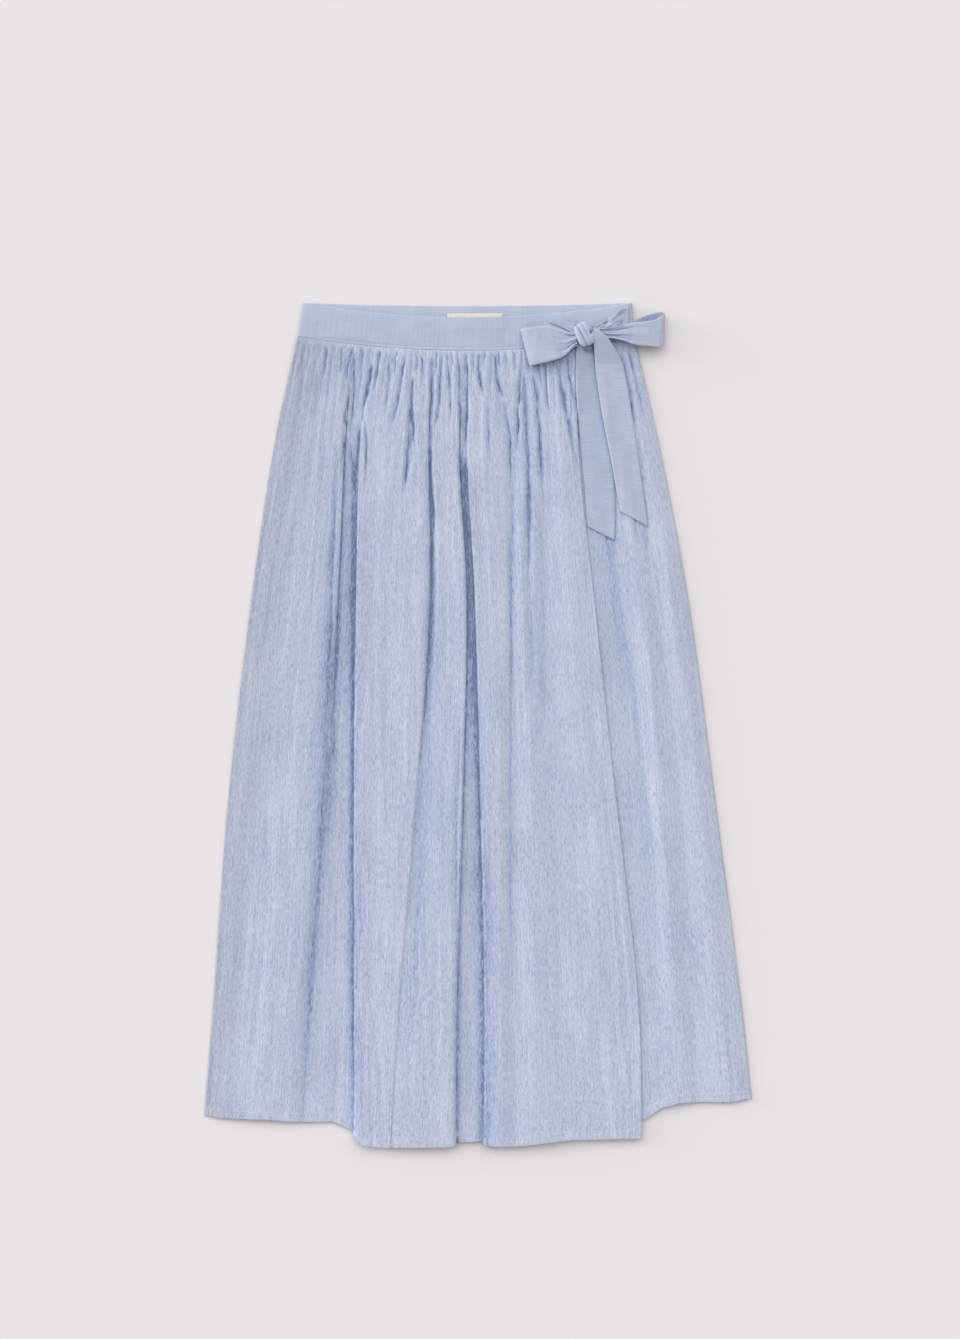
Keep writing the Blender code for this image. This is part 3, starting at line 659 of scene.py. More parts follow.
def sew(name, rows, seed):
    """Rows of stitches along lines of places on the cloth, as one piece."""
    lines = bpy.data.meshes.new(name + "_lines")
    places = np.concatenate(rows)
    firsts = np.cumsum([0] + [len(row) for row in rows])
    steps = [(k, k + 1) for a, b in zip(firsts, firsts[1:]) for k in range(a, b - 1)]
    lines.from_pydata((places * METRES).tolist(), steps, [])
    stitches = put(name, lines)
    sewing = stitches.modifiers.new("stitches", "NODES")
    sewing.node_group = stitch_tree
    for key, value in (("Pitch", STITCH_PITCH * METRES), ("Length", STITCH_LENGTH * METRES),
                       ("Width", THREAD_WIDTH * METRES), ("Seed", seed),
                       ("Thread", cotton_thread)):
        sewing[stitch_inputs[key].identifier] = value
    graph = bpy.context.evaluated_depsgraph_get()
    mesh = bpy.data.meshes.new_from_object(stitches.evaluated_get(graph))
    stitches.modifiers.clear()
    stitches.data = mesh
    mesh.shade_smooth()
    bpy.data.meshes.remove(lines)
    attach(stitches, "root")
    return stitches


def on_top(points):
    """The places of a line, raised to the top of the cloth laid so far."""
    height = top_of(points[None, :, 0], points[None, :, 1])[0]
    return np.stack([points[:, 0], points[:, 1], height + 0.03], -1)


front_band, front_band_points = make_band("front_waistband", FRONT_DIP, 31)
edge_row = front_band_points[np.searchsorted(BAND_DEPTHS, EDGE_STITCH_DEPTH - 0.001)]
band_stitches = sew("band_stitches", [on_top(edge_row[2:-2])], 1)
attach(front_band, "root")
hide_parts("waistband_front")

# Under panel.
# A narrow gathered panel of the same crinkled cotton. The front wraps over its inner edge,
# and it shows from there to the side. It hangs shorter than the front, with its own hem.

SHORT_REACH, LONG_REACH = 26.0, 120.0
GATHER_HEIGHT = 1.2
CREASE_DEPTH = 2.0
FULL_SHADE_CREASE = 3.4
PITCH_RULE = 30.0
COLUMNS_A_GATHER, LEAST_COLUMNS, EDGE_COLUMNS = 7, 5, 10
PANEL_LENGTH = 860.0
SEAM_RISE, SEAM_REACH = 0.62, 2.6
SHADE_SIDE_CUT = 0.25
EDGE_TURN, EDGE_EXTRA, EDGE_RISE = 9.0, 0.3, 0.6
EDGE_STITCHES_IN = 2.0
HEM_STITCH_ROW = 8


def gather_waves(number, drop, pitch, seed):
    """Height of the gathers that run down from the seam, no two alike."""
    drift = 0.30 * noise(number * 0.45, drop / 95, seed) * ease((drop - 35) / 60)
    phase = number + drift + 0.16 * noise(number * 0.9, drop * 0 + 0.5, seed + 1)
    which = np.round(phase)
    chance = np.random.default_rng(seed + 2).uniform(0, 1, (3, 200))
    size = mix(0.25, 1.3, chance[0, which.astype(int) % 200])
    reach = mix(SHORT_REACH, LONG_REACH, chance[1, which.astype(int) % 200] ** 2)
    most = np.minimum(GATHER_HEIGHT, pitch ** 2 / PITCH_RULE)
    below = np.maximum(drop - BAND_HEIGHT - FRONT_DIP, 0)
    swell = mix(0.5, 1, ease(below / 16))
    crest = np.abs(np.cos(np.pi * phase)) ** 0.75
    return most * swell * size * (crest - 0.42) * np.exp(-np.maximum(below - 12, 0) / reach)


def seam_pinches(x, below, seed):
    """Height of the small pinches where the gathers run into the seam."""
    pinch = noise(x / 1.9, below / 9, seed) + 0.6 * noise(x / 3.6, below / 15, seed + 1)
    return 0.50 * pinch * np.exp(-below / 8) + 0.7 * np.exp(-below / 14)


def sharp_creases(x, drop, creases):
    """Depth and painted shade of the creases given, sharp at the bottom, shallow at both ends."""
    depth, shade = np.zeros_like(x), np.zeros_like(x)
    for number, crease in enumerate(creases):
        knots = (crease.drop_top, crease.drop_mid, crease.drop_low)
        middle = smooth(knots, (crease.x_top, crease.x_mid, crease.x_low), drop)
        share = (drop - crease.drop_top) / (crease.drop_low - crease.drop_top)
        inside = ease(share / 0.15) * ease((1 - share) / 0.35)
        row = 7.3 * number + 0 * drop
        long = float(ease((crease.drop_low - crease.drop_top - 130) / 250))
        middle = middle + 0.9 * noise(row, drop / mix(15, 60, long), 71)
        middle = middle + mix(0.6, 0.25, long) * noise(row, drop / mix(5.5, 25, long), 72)
        uneven = 0.5 + 0.5 * noise(row, drop / mix(8, 45, long), 73)
        inside = inside * mix(mix(0.35, 0.8, long), mix(1.2, 1.05, long), uneven)
        soft_side = np.where((x > middle) == (number % 3 > 0), 0.55, 1.15)
        away = np.abs(x - middle) / (crease.width * 1.2) * soft_side
        sharp = np.exp(-away ** 1.3)
        depth += CREASE_DEPTH * crease.depth * inside * (sharp - 0.30 * bell(away, 3.2))
        crease_shade = 0.30 * sharp + 0.20 * bell(away, 2.8)
        shade += crease.depth / FULL_SHADE_CREASE * inside * crease_shade
    return depth, shade


# A crease in the gathers runs through three places, each an x and a drop below the top of
# the waistband.
Crease = namedtuple("Crease", "x_top drop_top x_mid drop_mid x_low drop_low width depth")
UNDER_CREASES = rows_of(Crease, (
    (146, 56, 151, 80, 158, 125, 1.2, 1.3),
    (153, 52, 160, 80, 171, 145, 1.3, 1.9),
    (160, 46, 168, 76, 181, 132, 1.4, 1.5),
    (172, 140, 178, 200, 186, 300, 3.0, 1.0),
    (163, 150, 168, 210, 172, 280, 1.6, 0.8),
))

# Painted shade, with a shallow cut, in the soft valley beside the wrap edge, which looks darker
# than its depth alone makes it.
UNDER_PAINTED_SHADE_SIDES = rows_of(Crease, (
    (130, 190, 174, 470, 205, 800, 6, 1.5),
    (130, 170, 144, 290, 160, 430, 6, 1.5),
))


def grid_between(folds, edge_turn):
    """Points between a panel's fold lines, with the number and the pitch of their gather."""
    lines = fold_lines(folds, panel_shares(PANEL_LENGTH))
    parts, numbers, pitches, gather = [], [], [], 0.0
    for k in range(1, len(folds)):
        columns = max(round(folds[k].gathers * COLUMNS_A_GATHER), LEAST_COLUMNS)
        if edge_turn and k == len(folds) - 1:
            columns += EDGE_COLUMNS
        u = (np.arange(0 if k == 1 else 1, columns + 1) / columns)[None, :, None]
        before, after = lines[k - 1][:, None], lines[k][:, None]
        part = mix(before, after, u)
        part[..., 2] = mix(before[..., 2], after[..., 2], ease(u[..., 0]))
        parts.append(part)
        numbers.append(gather + folds[k].gathers * u[0, :, 0])
        pitch = np.linalg.norm((lines[k] - lines[k - 1])[:, :2], axis=1) / folds[k].gathers
        pitches.append(pitch[:, None] * np.ones(u.shape[1]))
        gather += folds[k].gathers
    points = np.concatenate(parts, 1)
    number = np.concatenate(numbers) + 0 * points[..., 0]
    return points, number, np.concatenate(pitches, 1)


def gathered_panel(name, folds, seed, edge_turn, creases=(), painted_shade_sides=()):
    """A gathered panel that meets the front band's seam and lies on what is under it."""
    points, number, pitch = grid_between(folds, edge_turn)
    x, y, z = np.moveaxis(points, -1, 0)
    drop = WAIST_TOP - y
    below, up = drop - drop[:1], drop[-1] - drop
    hem_x = fan(x, drop)
    z[:] = softened(z, 2)
    z += gather_waves(number, drop, pitch, seed)
    cut, shade = sharp_creases(x, drop, creases)
    z -= cut
    cut, crease_shade = sharp_creases(x, drop, painted_shade_sides)
    z -= SHADE_SIDE_CUT * cut
    pinches = seam_pinches(x, below, seed + 20)
    z += pinches
    calm = mix(0.45, 1, ease((drop - 60) / 120))
    z += calm * crinkle(hem_x, drop, seed + 10) + hem_gather(hem_x, up, seed)
    seam = front_band_points[-1]
    seam_z = np.interp(x, seam[:, 0], seam[:, 2]) + SEAM_RISE
    meets = bell(below, SEAM_REACH)
    z[:] = mix(z, seam_z, 0.9 * meets)
    half = CLOTH_HALF + turned_wall(up, HEM_DEPTH, HEM_EXTRA, HEM_STITCHES_UP)
    if edge_turn:
        inside = x[:, -1:] - x
        near_edge = np.exp(-inside / EDGE_TURN)
        half = np.maximum(half, CLOTH_HALF + turned_wall(inside, EDGE_TURN, EDGE_EXTRA,
                                                         EDGE_STITCHES_IN))
        z += EDGE_EXTRA * turned_in(inside, EDGE_TURN) + EDGE_RISE * near_edge * (1 - meets)
        z += 0.25 * noise(drop / 13, inside / 20, seed + 5) * near_edge
    rest_on(points, half)
    half = half * edge_taper(*half.shape, "lrb")
    spread = np.stack([hem_x, drop], -1)
    inset = x - x[:, :1]
    # Painted shade: the long folds' dark sides, the wrap edge's shadow on the under panel, and shade
    # under the waist seam and in the seam pinches.
    wrap_shadow = 0.0 if edge_turn else 0.50
    shade += crease_shade + wrap_shadow * bell(inset, 30) + 0.12 * np.exp(-below / 45)
    shade += 0.9 * np.maximum(-pinches, 0)
    panel = cloth_shell(name, points, half, spread, crinkled_cotton, shade)
    if edge_turn:
        # Painted shade along the front's left side edge, wider higher up.
        edge_shade = bell(inset, mix(46, 30, ease((drop - 400) / 350)))
        painted_edge_shade = panel.data.attributes.new("painted_edge_shade", "FLOAT", "POINT")
        painted_edge_shade.data.foreach_set("value", np.tile(edge_shade.ravel(), 2))
    return panel, points


under_skirt, under_points = gathered_panel("under_skirt", UNDER_FOLDS, 41, False,
                                           UNDER_CREASES, UNDER_PAINTED_SHADE_SIDES)
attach(under_skirt, "root")
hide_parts("under_wrap_panel")
hem_row = under_points[-HEM_STITCH_ROW]
under_stitches = sew("under_hem_stitches", [on_top(hem_row[hem_row[:, 0] > 184])], 2)

# Front wrap panel.
# The main form: a wide gathered panel of crinkled cotton with deep soft folds, that wraps
# over the under panel. Its free edge is turned in and stitched, and so is its hem.

WAIST_CREASES = rows_of(Crease, (
    (-185.4, 42, -187.7, 56, -190.4, 111, 1.3, 0.7),
    (-162.9, 47, -163.9, 61, -167.4, 85, 1.3, 1.8),
    (-172.8, 74, -173.9, 96, -177.1, 137, 3, 0.9),
    (-134.2, 45, -140.1, 74, -139.8, 98, 1.3, 1.3),
    (-139.8, 94, -143, 128, -147.4, 204, 1.3, 2.4),
    (-134.2, 50, -134.2, 96, -137.7, 148, 1.2, 1.6),
    (-137.9, 148, -135, 178, -132, 206, 1.3, 1.3),
    (-114.5, 66, -118.8, 89, -124.4, 117, 1.5, 2.8),
    (-124.8, 115, -120.6, 155, -123.1, 212, 1.2, 1.6),
    (-127.4, 130, -130, 169, -133.1, 212, 1.3, 2.2),
    (-105.5, 50, -108.3, 71, -114.5, 98, 1.2, 2),
    (-96.8, 52, -96.1, 79, -101.7, 126, 1.2, 1.2),
    (-78.5, 55, -84.8, 98, -95, 141, 1.4, 1.9),
    (-72.4, 92, -74.2, 134, -79.7, 212, 1.4, 2.4),
    (-67.3, 50, -65.9, 62, -68, 76, 1.1, 1.4),
    (-69.1, 76, -71.3, 110, -65.9, 169, 1.4, 2.4),
    (-60.2, 56, -59.1, 73, -61.6, 96, 1.2, 1.4),
    (-49.7, 53, -51.5, 115, -51.8, 159, 1.3, 1.6),
    (-51.8, 152, -50.3, 191, -45.4, 256, 1.7, 3.2),
    (-39.2, 50, -41.6, 94, -48.6, 154, 1.3, 1.8),
    (-33.7, 50, -31.3, 85, -30.2, 130, 1.1, 1.3),
    (-28.7, 52, -27, 62, -23.8, 72, 1.1, 1.1),
    (-21.6, 57, -20, 104, -20.5, 159, 1.3, 2),
    (-21, 154, -18.9, 196, -16.2, 245, 1.4, 2.4),
    (-10.6, 50, -10.8, 104, -14.5, 171, 1.4, 2.6),
    (-14, 164, -15.1, 212, -13, 277, 1.8, 3.4),
    (1.1, 52, 1.6, 81, 9.3, 109, 1.4, 2.5),
    (9.3, 50, 9.1, 59, 8.6, 70, 1.1, 0.9),
    (9.7, 107, 10.4, 132, 11.9, 180, 1.3, 1),
    (17.5, 53, 20, 83, 29.2, 109, 1.5, 2.1),
    (29.6, 104, 34.6, 148, 35.1, 212, 1.2, 1.5),
    (29.2, 50, 29.4, 59, 29.7, 70, 1.1, 1.1),
    (37.8, 50, 38.9, 61, 40, 76, 1.1, 1.1),
    (45.7, 61, 45, 104, 42.7, 169, 1.4, 2.2),
    (48.5, 62, 51.5, 137, 56.5, 300, 1.8, 2.3),
    (57.2, 68, 62.6, 104, 71, 225, 1.5, 2.0),
    (71.8, 63, 74.5, 94, 77.3, 126, 1.2, 1.2),
    (82.8, 59, 92, 105, 110, 190, 1.5, 2.4),
    (36.7, 120, 36.7, 280, 34, 480, 2.2, 0.6),
    (54, 230, 56, 330, 57.5, 460, 3.4, 0.8),
    (72, 180, 70, 320, 71, 520, 4.0, 0.5),
    (62.5, 290, 61.5, 390, 67, 540, 3.4, 0.5),
    (149, 280, 149, 330, 150, 400, 2.0, 0.6),
    (95, 57, 99.4, 84, 105.3, 117, 1.3, 1.6),
    (-170.6, 43, -171.2, 50, -171.7, 61, 1.1, 0.7),
    (-154.4, 44, -153.9, 53, -153.4, 68, 1.1, 0.8),
    (-148, 45, -148, 63, -149, 87, 1.2, 0.9),
    (-125.3, 46, -124.7, 57, -125.3, 70, 1.1, 0.8),
    (-87.5, 48, -88.6, 63, -90.7, 83, 1.2, 1),
    (-45.4, 50, -45.9, 63, -45.4, 79, 1.1, 1),
    (-5.9, 50, -4.9, 63, -4.3, 81, 1.1, 1.1),
    (23.2, 50, 23.8, 59, 24.8, 72, 1.1, 1),
    (64.8, 61, 67, 79, 69.1, 100, 1.1, 1),
))

# The deep sides of the long folds, with painted shade and a shallow cut, which look darker than
# their depth alone makes them.
PAINTED_SHADE_SIDES = rows_of(Crease, (
    (-150, 110, -166, 520, -197, 980, 3.3, 3.5),
    (-143, 130, -151, 520, -162, 1100, 10, 0.9),
    (-134.5, 120, -134.5, 520, -133.5, 1100, 2.6, 4.4),
    (-49, 190, -49.5, 270, -57, 420, 1.8, 3.4),
    (-50, 250, -63, 530, -96, 1000, 1.4, 0.6),
    (-43, 240, -53, 480, -80, 860, 6, 2.2),
    (-20, 420, -22.5, 600, -23.5, 1080, 1.6, 2.4),
    (-14, 160, -11, 290, -6, 440, 3.0, 3.2),
    (-7, 330, 2, 560, 7.5, 1100, 3.0, 4.2),
    (10, 560, 12, 780, 10, 1050, 5, 1.0),
    (34.5, 200, 34.8, 560, 35.5, 800, 1.3, 1.8),
    (50, 200, 62, 560, 70, 860, 9, 0.7),
    (-71.5, 100, -72, 165, -73, 250, 6, 1.0),
    (-48.5, 66, -49.5, 110, -50, 180, 3.5, 1.5),
    (-15, 64, -15.5, 120, -15, 200, 3.5, 0.8),
    (49, 80, 51, 165, 57, 300, 5, 1.4),
    (-137, 46, -139, 75, -142, 120, 5, 1.8),
    (-165, 60, -166, 80, -168, 105, 4, 1.3),
    (92, 60, 98, 95, 104, 140, 6, 1.2),
    (71, 150, 73, 190, 76, 260, 6, 1.0),
    (22, 80, 27, 125, 32, 190, 5, 0.9),
    (-108, 60, -113, 90, -119, 130, 4, 1.2),
    (-228, 500, -236, 700, -244, 1000, 6, 0.5),
    (150, 300, 160, 560, 168, 860, 6, 0.5),
    (-148, 300, -157, 480, -163, 640, 5, 1.6),
))

front_skirt, front_points = gathered_panel("front_skirt", FRONT_FOLDS, 51, True, WAIST_CREASES,
                                           PAINTED_SHADE_SIDES)
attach(front_skirt, "root")
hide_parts("front_wrap_panel")
hem_row = front_points[-HEM_STITCH_ROW][2:-6]
inner = front_points[:, -1, 0] - EDGE_TURN + EDGE_STITCHES_IN
edge_row = np.array([[np.interp(x, row[:, 0], row[:, k]) for k in range(3)]
                     for x, row in zip(inner, front_points)])
front_stitches = sew("front_hem_stitches", [on_top(hem_row), on_top(edge_row[3:-8])], 3)

# Tie straps.
# Strips of the smooth cotton, folded double, sewn to the band. The left one comes out along
# the band as a flat wedge, the right one is crumpled into a fan, and both run into the knot.

KNOT_X, KNOT_Y = 114.5, 420.5
KNOT_RADII = np.array((9.7, 13.2, 6.4))
KNOT_TURN = math.radians(22)
KNOT_FULLNESS = 2.5
KNOT_CLEARANCE, KNOT_COVER = 0.9, 0.6
TIE_HALF = 0.6
TIE_COLUMNS = 29
TIE_STEP = 1.6

# A tie is a strip. Each station gives the middle of the strip, its width, the heading of the
# line across it in degrees from +X, and how deep its pleats are.
Station = namedtuple("Station", "x y z width across pleat")

LEFT_STRAP = rows_of(Station, (
    (76.5, 436.5, 0, 4, 96, 0),
    (90.5, 432, 0, 8, 100, 0.3),
    (104, 427, 8, 12.5, 102, 0.8),
    (112, 424, 10, 14, 102, 0.8),
))
RIGHT_STRAP = rows_of(Station, (
    (163, 441, 0, 23, 89, 0),
    (152, 437.5, 6.8, 21, 82, 0.1),
    (139, 431, 7.8, 16, 74, 0.2),
    (127, 426, 9.2, 12, 70, 0.4),
    (118, 423, 10, 11, 70, 0.5),
))

tie_cotton = cotton(
    "tie_cotton",
    ((0.30, (0.385, 0.43, 0.55)), (0.52, (0.47, 0.51, 0.63)), (0.75, (0.55, 0.58, 0.685))),
    (0.78, 0.82, 0.90),
    ((0.55, (26, 900), 3, 0.6, 0.1), (0.25, (1100, 26), 2, 0.5, 0.1),
     (0.20, (45, 60), 2, 0.5, 0.2)),
    ((0.6, (60, 1000), 2, 0.5, 0.1), (0.4, (1100, 60), 2, 0.5, 0.1)),
    0.12, 0.12)

across_knot = np.array((-1, -0.5, 0, 0.5, 1))
knot_base = top_of(*np.meshgrid(KNOT_X + KNOT_RADII[0] * across_knot,
                                KNOT_Y + KNOT_RADII[1] * across_knot)).max()
knot_centre = np.array((KNOT_X, KNOT_Y, knot_base + KNOT_CLEARANCE + KNOT_RADII[2]))


def knot_distance(points):
    """How far out points are from the middle of the knot, where 1 is at its face."""
    offset = points - knot_centre
    turn = np.array(Matrix.Rotation(-KNOT_TURN, 3, "Z"))
    parts = np.abs(offset @ turn.T) / (KNOT_RADII - KNOT_COVER)
    return (parts ** KNOT_FULLNESS).sum(-1)


def tie_strip(name, stations, trims, times, seed, crumple=0.12, inner=0.0, dim=0.12):
    """A strip through its stations, that ends just inside the knot where it is trimmed."""
    table = np.array(stations, float)
    steps = np.linalg.norm(np.diff(table[:, :3], axis=0), axis=1)
    knots = np.concatenate([[0], np.cumsum(steps)])
    rows = max(round(knots[-1] / TIE_STEP), 8)
    along, side = np.meshgrid(np.linspace(0, knots[-1], rows), np.linspace(-1, 1, TIE_COLUMNS),
                              indexing="ij")
    if trims:
        fine = np.linspace(0, knots[-1], 400)
        middle = np.stack([smooth(knots, table[:, k], fine) for k in range(3)], -1)
        clear = fine[knot_distance(middle) > 1]
        first = clear[0] if "start" in trims else 0.0
        final = clear[-1] if "end" in trims else knots[-1]
        along = mix(first, final, along / knots[-1])
    x, y, z, width, across, pleat = (smooth(knots, table[:, k], along) for k in range(6))
    reach = side * width / 2
    heading = np.radians(across)
    wave = pleat * (np.cos(2 * np.pi * side) + 0.5 * np.cos(5 * np.pi * side + along / 9))
    wave += 0.12 * noise(along / 14, side * 2, seed)
    wave += crumple * noise(along / 4.0 + side, side * 3.2, seed + 1)
    points = np.stack([x + reach * np.cos(heading), y + reach * np.sin(heading), z + wave], -1)
    least = rest_on(points, TIE_HALF)
    settle(points, least, times, 3)
    half = TIE_HALF * edge_taper(rows, TIE_COLUMNS, "lrtb", 0.3)
    spread = np.stack([reach, along], -1)
    share = np.linspace(0, 1, rows)[:, None] + 0 * side
    # Painted shade: a little over the whole strip, more on the lower layer inside a loop, and in the
    # hollows of the crumples.
    shade = dim + inner * ease((share - 0.2) / 0.15) * ease((0.53 - share) / 0.05)
    shade = shade + np.maximum(-wave - 0.35, 0) * min(crumple, 0.6)
    return cloth_shell(name, points, half, spread, tie_cotton, shade), points


left_strap, _ = tie_strip("left_strap", LEFT_STRAP, ("end",), 10, 61)
right_strap, _ = tie_strip("right_strap", RIGHT_STRAP, ("end",), 1, 62, 1.5)
for piece, node in ((left_strap, "tie_strap_left"), (right_strap, "tie_strap_right")):
    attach(piece, "root")
    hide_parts(node)

# Left bow tail.
# A free end of the tie, that hangs from under the knot over the panels and is cut on a slant.

LEFT_TAIL = rows_of(Station, (
    (114.5, 412, 8.4, 15, 0, 0.5),
    (115.5, 400, 7.6, 20, 0, 0.5),
    (121, 366, 0, 31, 2, 0.2),
    (127, 302, 0, 33.5, 4, 0),
    (131, 256, 0, 33.5, -2, 0),
    (133, 206.5, 0, 32.5, -27, 0),
))

left_tail, left_tail_points = tie_strip("left_tail", LEFT_TAIL, ("start",), 30, 63)
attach(left_tail, "root")
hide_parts("bow_tail_left")

# Bow loops.
# The tie folded back on itself to each side of the knot. Each loop has a lower and an upper
# layer and a rounded fold at its end, and it is pleated where the knot draws it in.

LEFT_LOOP = rows_of(Station, (
    (112, 418, 11, 12, 92, 0.4),
    (102, 413.5, 10.4, 16, 93, 0.4),
    (92, 411.5, 9, 28, 95, 0.2),
    (77, 411, 8, 38, 98, 0),
    (58, 408, 8, 41, 102, 0),
    (51, 406.3, 11, 41.5, 104, 0),
    (57, 407.5, 14.3, 41, 103, 0),
    (77, 410.5, 15.8, 38, 98, 0),
    (92, 411, 15.3, 28, 95, 0.5),
    (102, 414.5, 14.9, 15, 95, 1.1),
    (112, 418.5, 14.3, 10, 92, 1.0),
))
RIGHT_LOOP = rows_of(Station, (
    (118, 422, 9.7, 10, 88, 0.6),
    (132, 421, 9.4, 10, 88, 0.6),
    (143, 421.5, 9, 11, 88, 0.4),
    (157, 422.2, 7.6, 16.5, 87, 0),
    (167, 423.7, 6.4, 23.3, 87, 0),
    (178.7, 425.4, 5.2, 30.9, 87, 0),
    (187.3, 426, 4.6, 35, 87, 0),
    (196.5, 427, 5.0, 37, 87, 0),
    (200.4, 426, 8.4, 34.5, 88, 0),
    (197, 423.7, 11.8, 33.5, 88, 0),
    (189.4, 421.5, 12.9, 29, 88, 0),
    (169, 421.1, 13.6, 24, 88, 0.3),
    (157.4, 422.1, 13.9, 18, 88, 0.8),
    (146.7, 422, 13.8, 12.5, 88, 1.0),
    (136, 422, 13.6, 10, 88, 1.0),
    (118, 422, 13.6, 9, 88, 0.8),
))

left_loop, left_loop_points = tie_strip("left_loop", LEFT_LOOP, ("start", "end"), 0, 65)
right_loop, _ = tie_strip("right_loop", RIGHT_LOOP, ("start", "end"), 0, 66, inner=0.5)
for piece, node in ((left_loop, "bow_loop_left"), (right_loop, "bow_loop_right")):
    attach(piece, "root")
    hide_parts(node)
# Painted shadow on the band and the front panel along the left loop's edge.
paint_shadow_beside(front_band, left_loop_points[:, 0], 2.2, 0.5)
paint_shadow_beside(front_skirt, left_loop_points[:, 0], 2.6, 0.6)

# Right bow tail.
# The other free end. It comes out over the right loop beside the knot, widens, and hangs over
# the left tail, also cut on a slant.

RIGHT_TAIL = rows_of(Station, (
    (126.5, 426, 14.6, 5, 8, 0.3),
    (129.2, 420.6, 14.8, 10.6, 6, 0.5),
    (131.8, 416.3, 14.6, 15.4, 4, 0.6),
    (134.2, 409.9, 13.6, 19.1, 4, 0.6),
    (136.7, 403.5, 11.5, 23.3, 4, 0.4),
    (139.4, 394.9, 8.5, 27.4, 4, 0.2),
    (142.3, 381, 0, 31, 4, 0),
    (151, 328, 0, 32, 2, 0),
    (160, 275, 0, 30, -4, 0),
    (168.3, 222, 0, 34, -29, 0),
))

# The small dimple across the left tail, just under the knot, drawn only as a painted shadow line.
DIMPLE_SHADOW_LINE = np.array(((115.5, 403.9, 0), (124.0, 402.8, 0)))

# The right tail, lying on top, gets no painted shade over it, so it looks lighter than the other tie
# pieces.
right_tail, right_tail_points = tie_strip("right_tail", RIGHT_TAIL, (), 20, 64, dim=0.0)
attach(right_tail, "root")
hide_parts("bow_tail_right")
# Painted shadows: the line across the left tail, the right tail's edge on the left tail, the left
# tail's edge on the front panel, and both tails' cut ends on the under panel.
for piece, edge, reach, most in (
    (left_tail, DIMPLE_SHADOW_LINE, 2.0, 1.1),
    (left_tail, right_tail_points[:, 0], 9.0, 0.42),
    (left_tail, right_tail_points[:, 0], 1.5, 0.4),
    (front_skirt, left_tail_points[:, 0], 1.6, 0.7),
    (under_skirt, left_tail_points[-1], 2.2, 0.6),
    (under_skirt, right_tail_points[-1], 1.6, 0.3),
):
    paint_shadow_beside(piece, edge, reach, most)

# Bow knot.
# The tie drawn tight round both loops, as a small full lump whose pleats run round it.

KNOT_PLEATS = 3
KNOT_PLEAT_DEPTH = 2.6
KNOT_PLEAT_SHARPNESS = 7
KNOT_SQUARENESS = 3.2
KNOT_AROUND, KNOT_UP = 96, 64
KNOT_POLE = 0.02
KNOT_LEAN, KNOT_SHIFT = 0.12, 0.05
KNOT_CLOTH_ACROSS, KNOT_CLOTH_DOWN = 20, 12

# The gap beside the knot, where the right tail comes out: a dent with painted shade in it.
GAP_X, GAP_Y = 121.4, 422.6
GAP_WIDE, GAP_LONG, GAP_DEPTH = 1.4, 2.6, 3.0

around, rise = np.meshgrid(np.linspace(0, 2 * np.pi, KNOT_AROUND, endpoint=False),
                           np.linspace(KNOT_POLE, np.pi - KNOT_POLE, KNOT_UP))
ball = np.stack([np.sin(rise) * np.cos(around), np.sin(rise) * np.sin(around),
                 np.cos(rise)], -1)
full = (np.abs(ball) ** KNOT_SQUARENESS).sum(-1) ** (-1 / KNOT_SQUARENESS)
slant = ball[..., 0] * full + KNOT_LEAN * ball[..., 1] * full + KNOT_SHIFT
groove = np.abs(np.cos(np.pi * KNOT_PLEATS * (slant + 1) / 2)) ** KNOT_PLEAT_SHARPNESS
groove *= (np.abs(slant) < 0.75) * mix(0.35, 1.0, ease(0.5 - slant))
pleated = KNOT_PLEAT_DEPTH / KNOT_RADII[2] * groove * (1 - ball[..., 1] ** 2)
ball *= (full * (1 - pleated))[..., None]
turn = np.array(Matrix.Rotation(KNOT_TURN, 3, "Z"))
knot_points = (ball * KNOT_RADII) @ turn.T + knot_centre
gap = bell(knot_points[..., 0] - GAP_X, GAP_WIDE) * bell(knot_points[..., 1] - GAP_Y, GAP_LONG)
knot_points[..., 2] -= GAP_DEPTH * gap * (ball[..., 2] > 0)
index = np.arange(KNOT_AROUND * KNOT_UP).reshape(KNOT_UP, KNOT_AROUND)
ahead = np.roll(index, -1, 1)
knot_faces = np.stack([index[:-1], index[1:], ahead[1:], ahead[:-1]], -1).reshape(-1, 4).tolist()
knot_faces += [index[0].tolist(), index[-1, ::-1].tolist()]
knot_flat = np.stack([slant.ravel() * KNOT_CLOTH_ACROSS, rise.ravel() * KNOT_CLOTH_DOWN], -1)
# Painted shade in the knot's grooves, over its lower half, and in the gap.
knot_painted_shade = 0.45 * groove + 0.5 * ease(0.55 - ball[..., 2]) + 1.2 * gap
knot = cloth_piece("knot", knot_points.reshape(-1, 3), knot_faces, knot_flat, knot_painted_shade,
                   tie_cotton)
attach(knot, "root")
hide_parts("bow_knot")

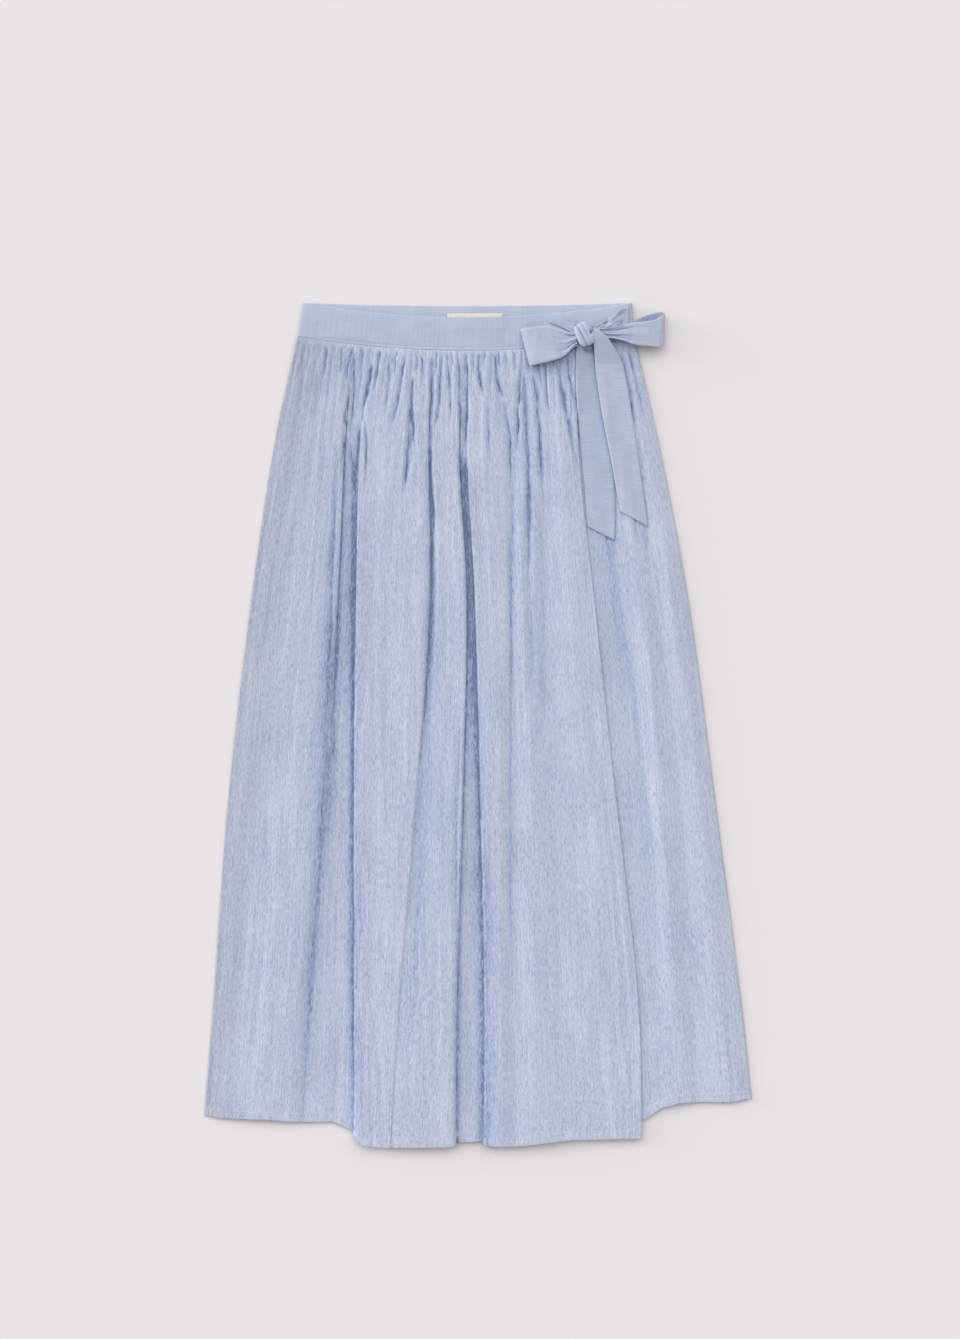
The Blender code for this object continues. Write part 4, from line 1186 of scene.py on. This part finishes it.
# Floor, light and camera.
# A plain pale floor under a wide soft light from the upper left, and the camera straight
# above, as in the photograph.

FLOOR_COLOUR = (0.805, 0.762, 0.762)
FLOOR_REACH, FLOOR_LEVEL = 6, -0.0004
SKY_STRENGTH = 0.50
CAMERA_X, CAMERA_Y, CAMERA_HEIGHT = 0.0022, 0.0599, 3.2
FIELD_HEIGHT = 1.446
SENSOR = 36

floor_mesh = bpy.data.meshes.new("floor")
corners = [(x * FLOOR_REACH, y * FLOOR_REACH, FLOOR_LEVEL)
           for x, y in ((-1, -1), (1, -1), (1, 1), (-1, 1))]
floor_mesh.from_pydata(corners, [], [(0, 1, 2, 3)])
paper, _ = new_material("floor_paper", Base_Color=(*FLOOR_COLOUR, 1), Roughness=1.0,
                        Specular_IOR_Level=0.0)
floor_mesh.materials.append(paper)
floor = put("floor", floor_mesh)

world = bpy.data.worlds.new("studio")
world.use_nodes = True
sky = world.node_tree.nodes["Background"]
sky.inputs["Color"].default_value = (1, 1, 1, 1)
sky.inputs["Strength"].default_value = SKY_STRENGTH
bpy.context.scene.world = world

# A lamp's angle is how wide its light is, in degrees, and x, y, z point towards it.
Lamp = namedtuple("Lamp", "name energy angle x y z")
LAMPS = rows_of(Lamp, (
    ("low_light", 1.75, 20, -0.95, 0.25, 0.14),
    ("key_light", 0.75, 46, -0.55, 0.50, 0.65),
    ("top_light", 1.10, 70, 0.22, 0.50, 0.82),
))
for row in LAMPS:
    lamp = bpy.data.lights.new(row.name, "SUN")
    lamp.energy = row.energy
    lamp.angle = math.radians(row.angle)
    towards = Vector((row.x, row.y, row.z)).to_track_quat("Z", "Y")
    put(row.name, lamp).rotation_euler = towards.to_euler()

lens = bpy.data.cameras.new("camera")
lens.sensor_width = SENSOR
lens.lens = SENSOR * CAMERA_HEIGHT / FIELD_HEIGHT
camera = put("camera", lens)
camera.location = (CAMERA_X, CAMERA_Y, CAMERA_HEIGHT)
bpy.context.scene.camera = camera
bpy.context.scene.view_settings.view_transform = "Standard"
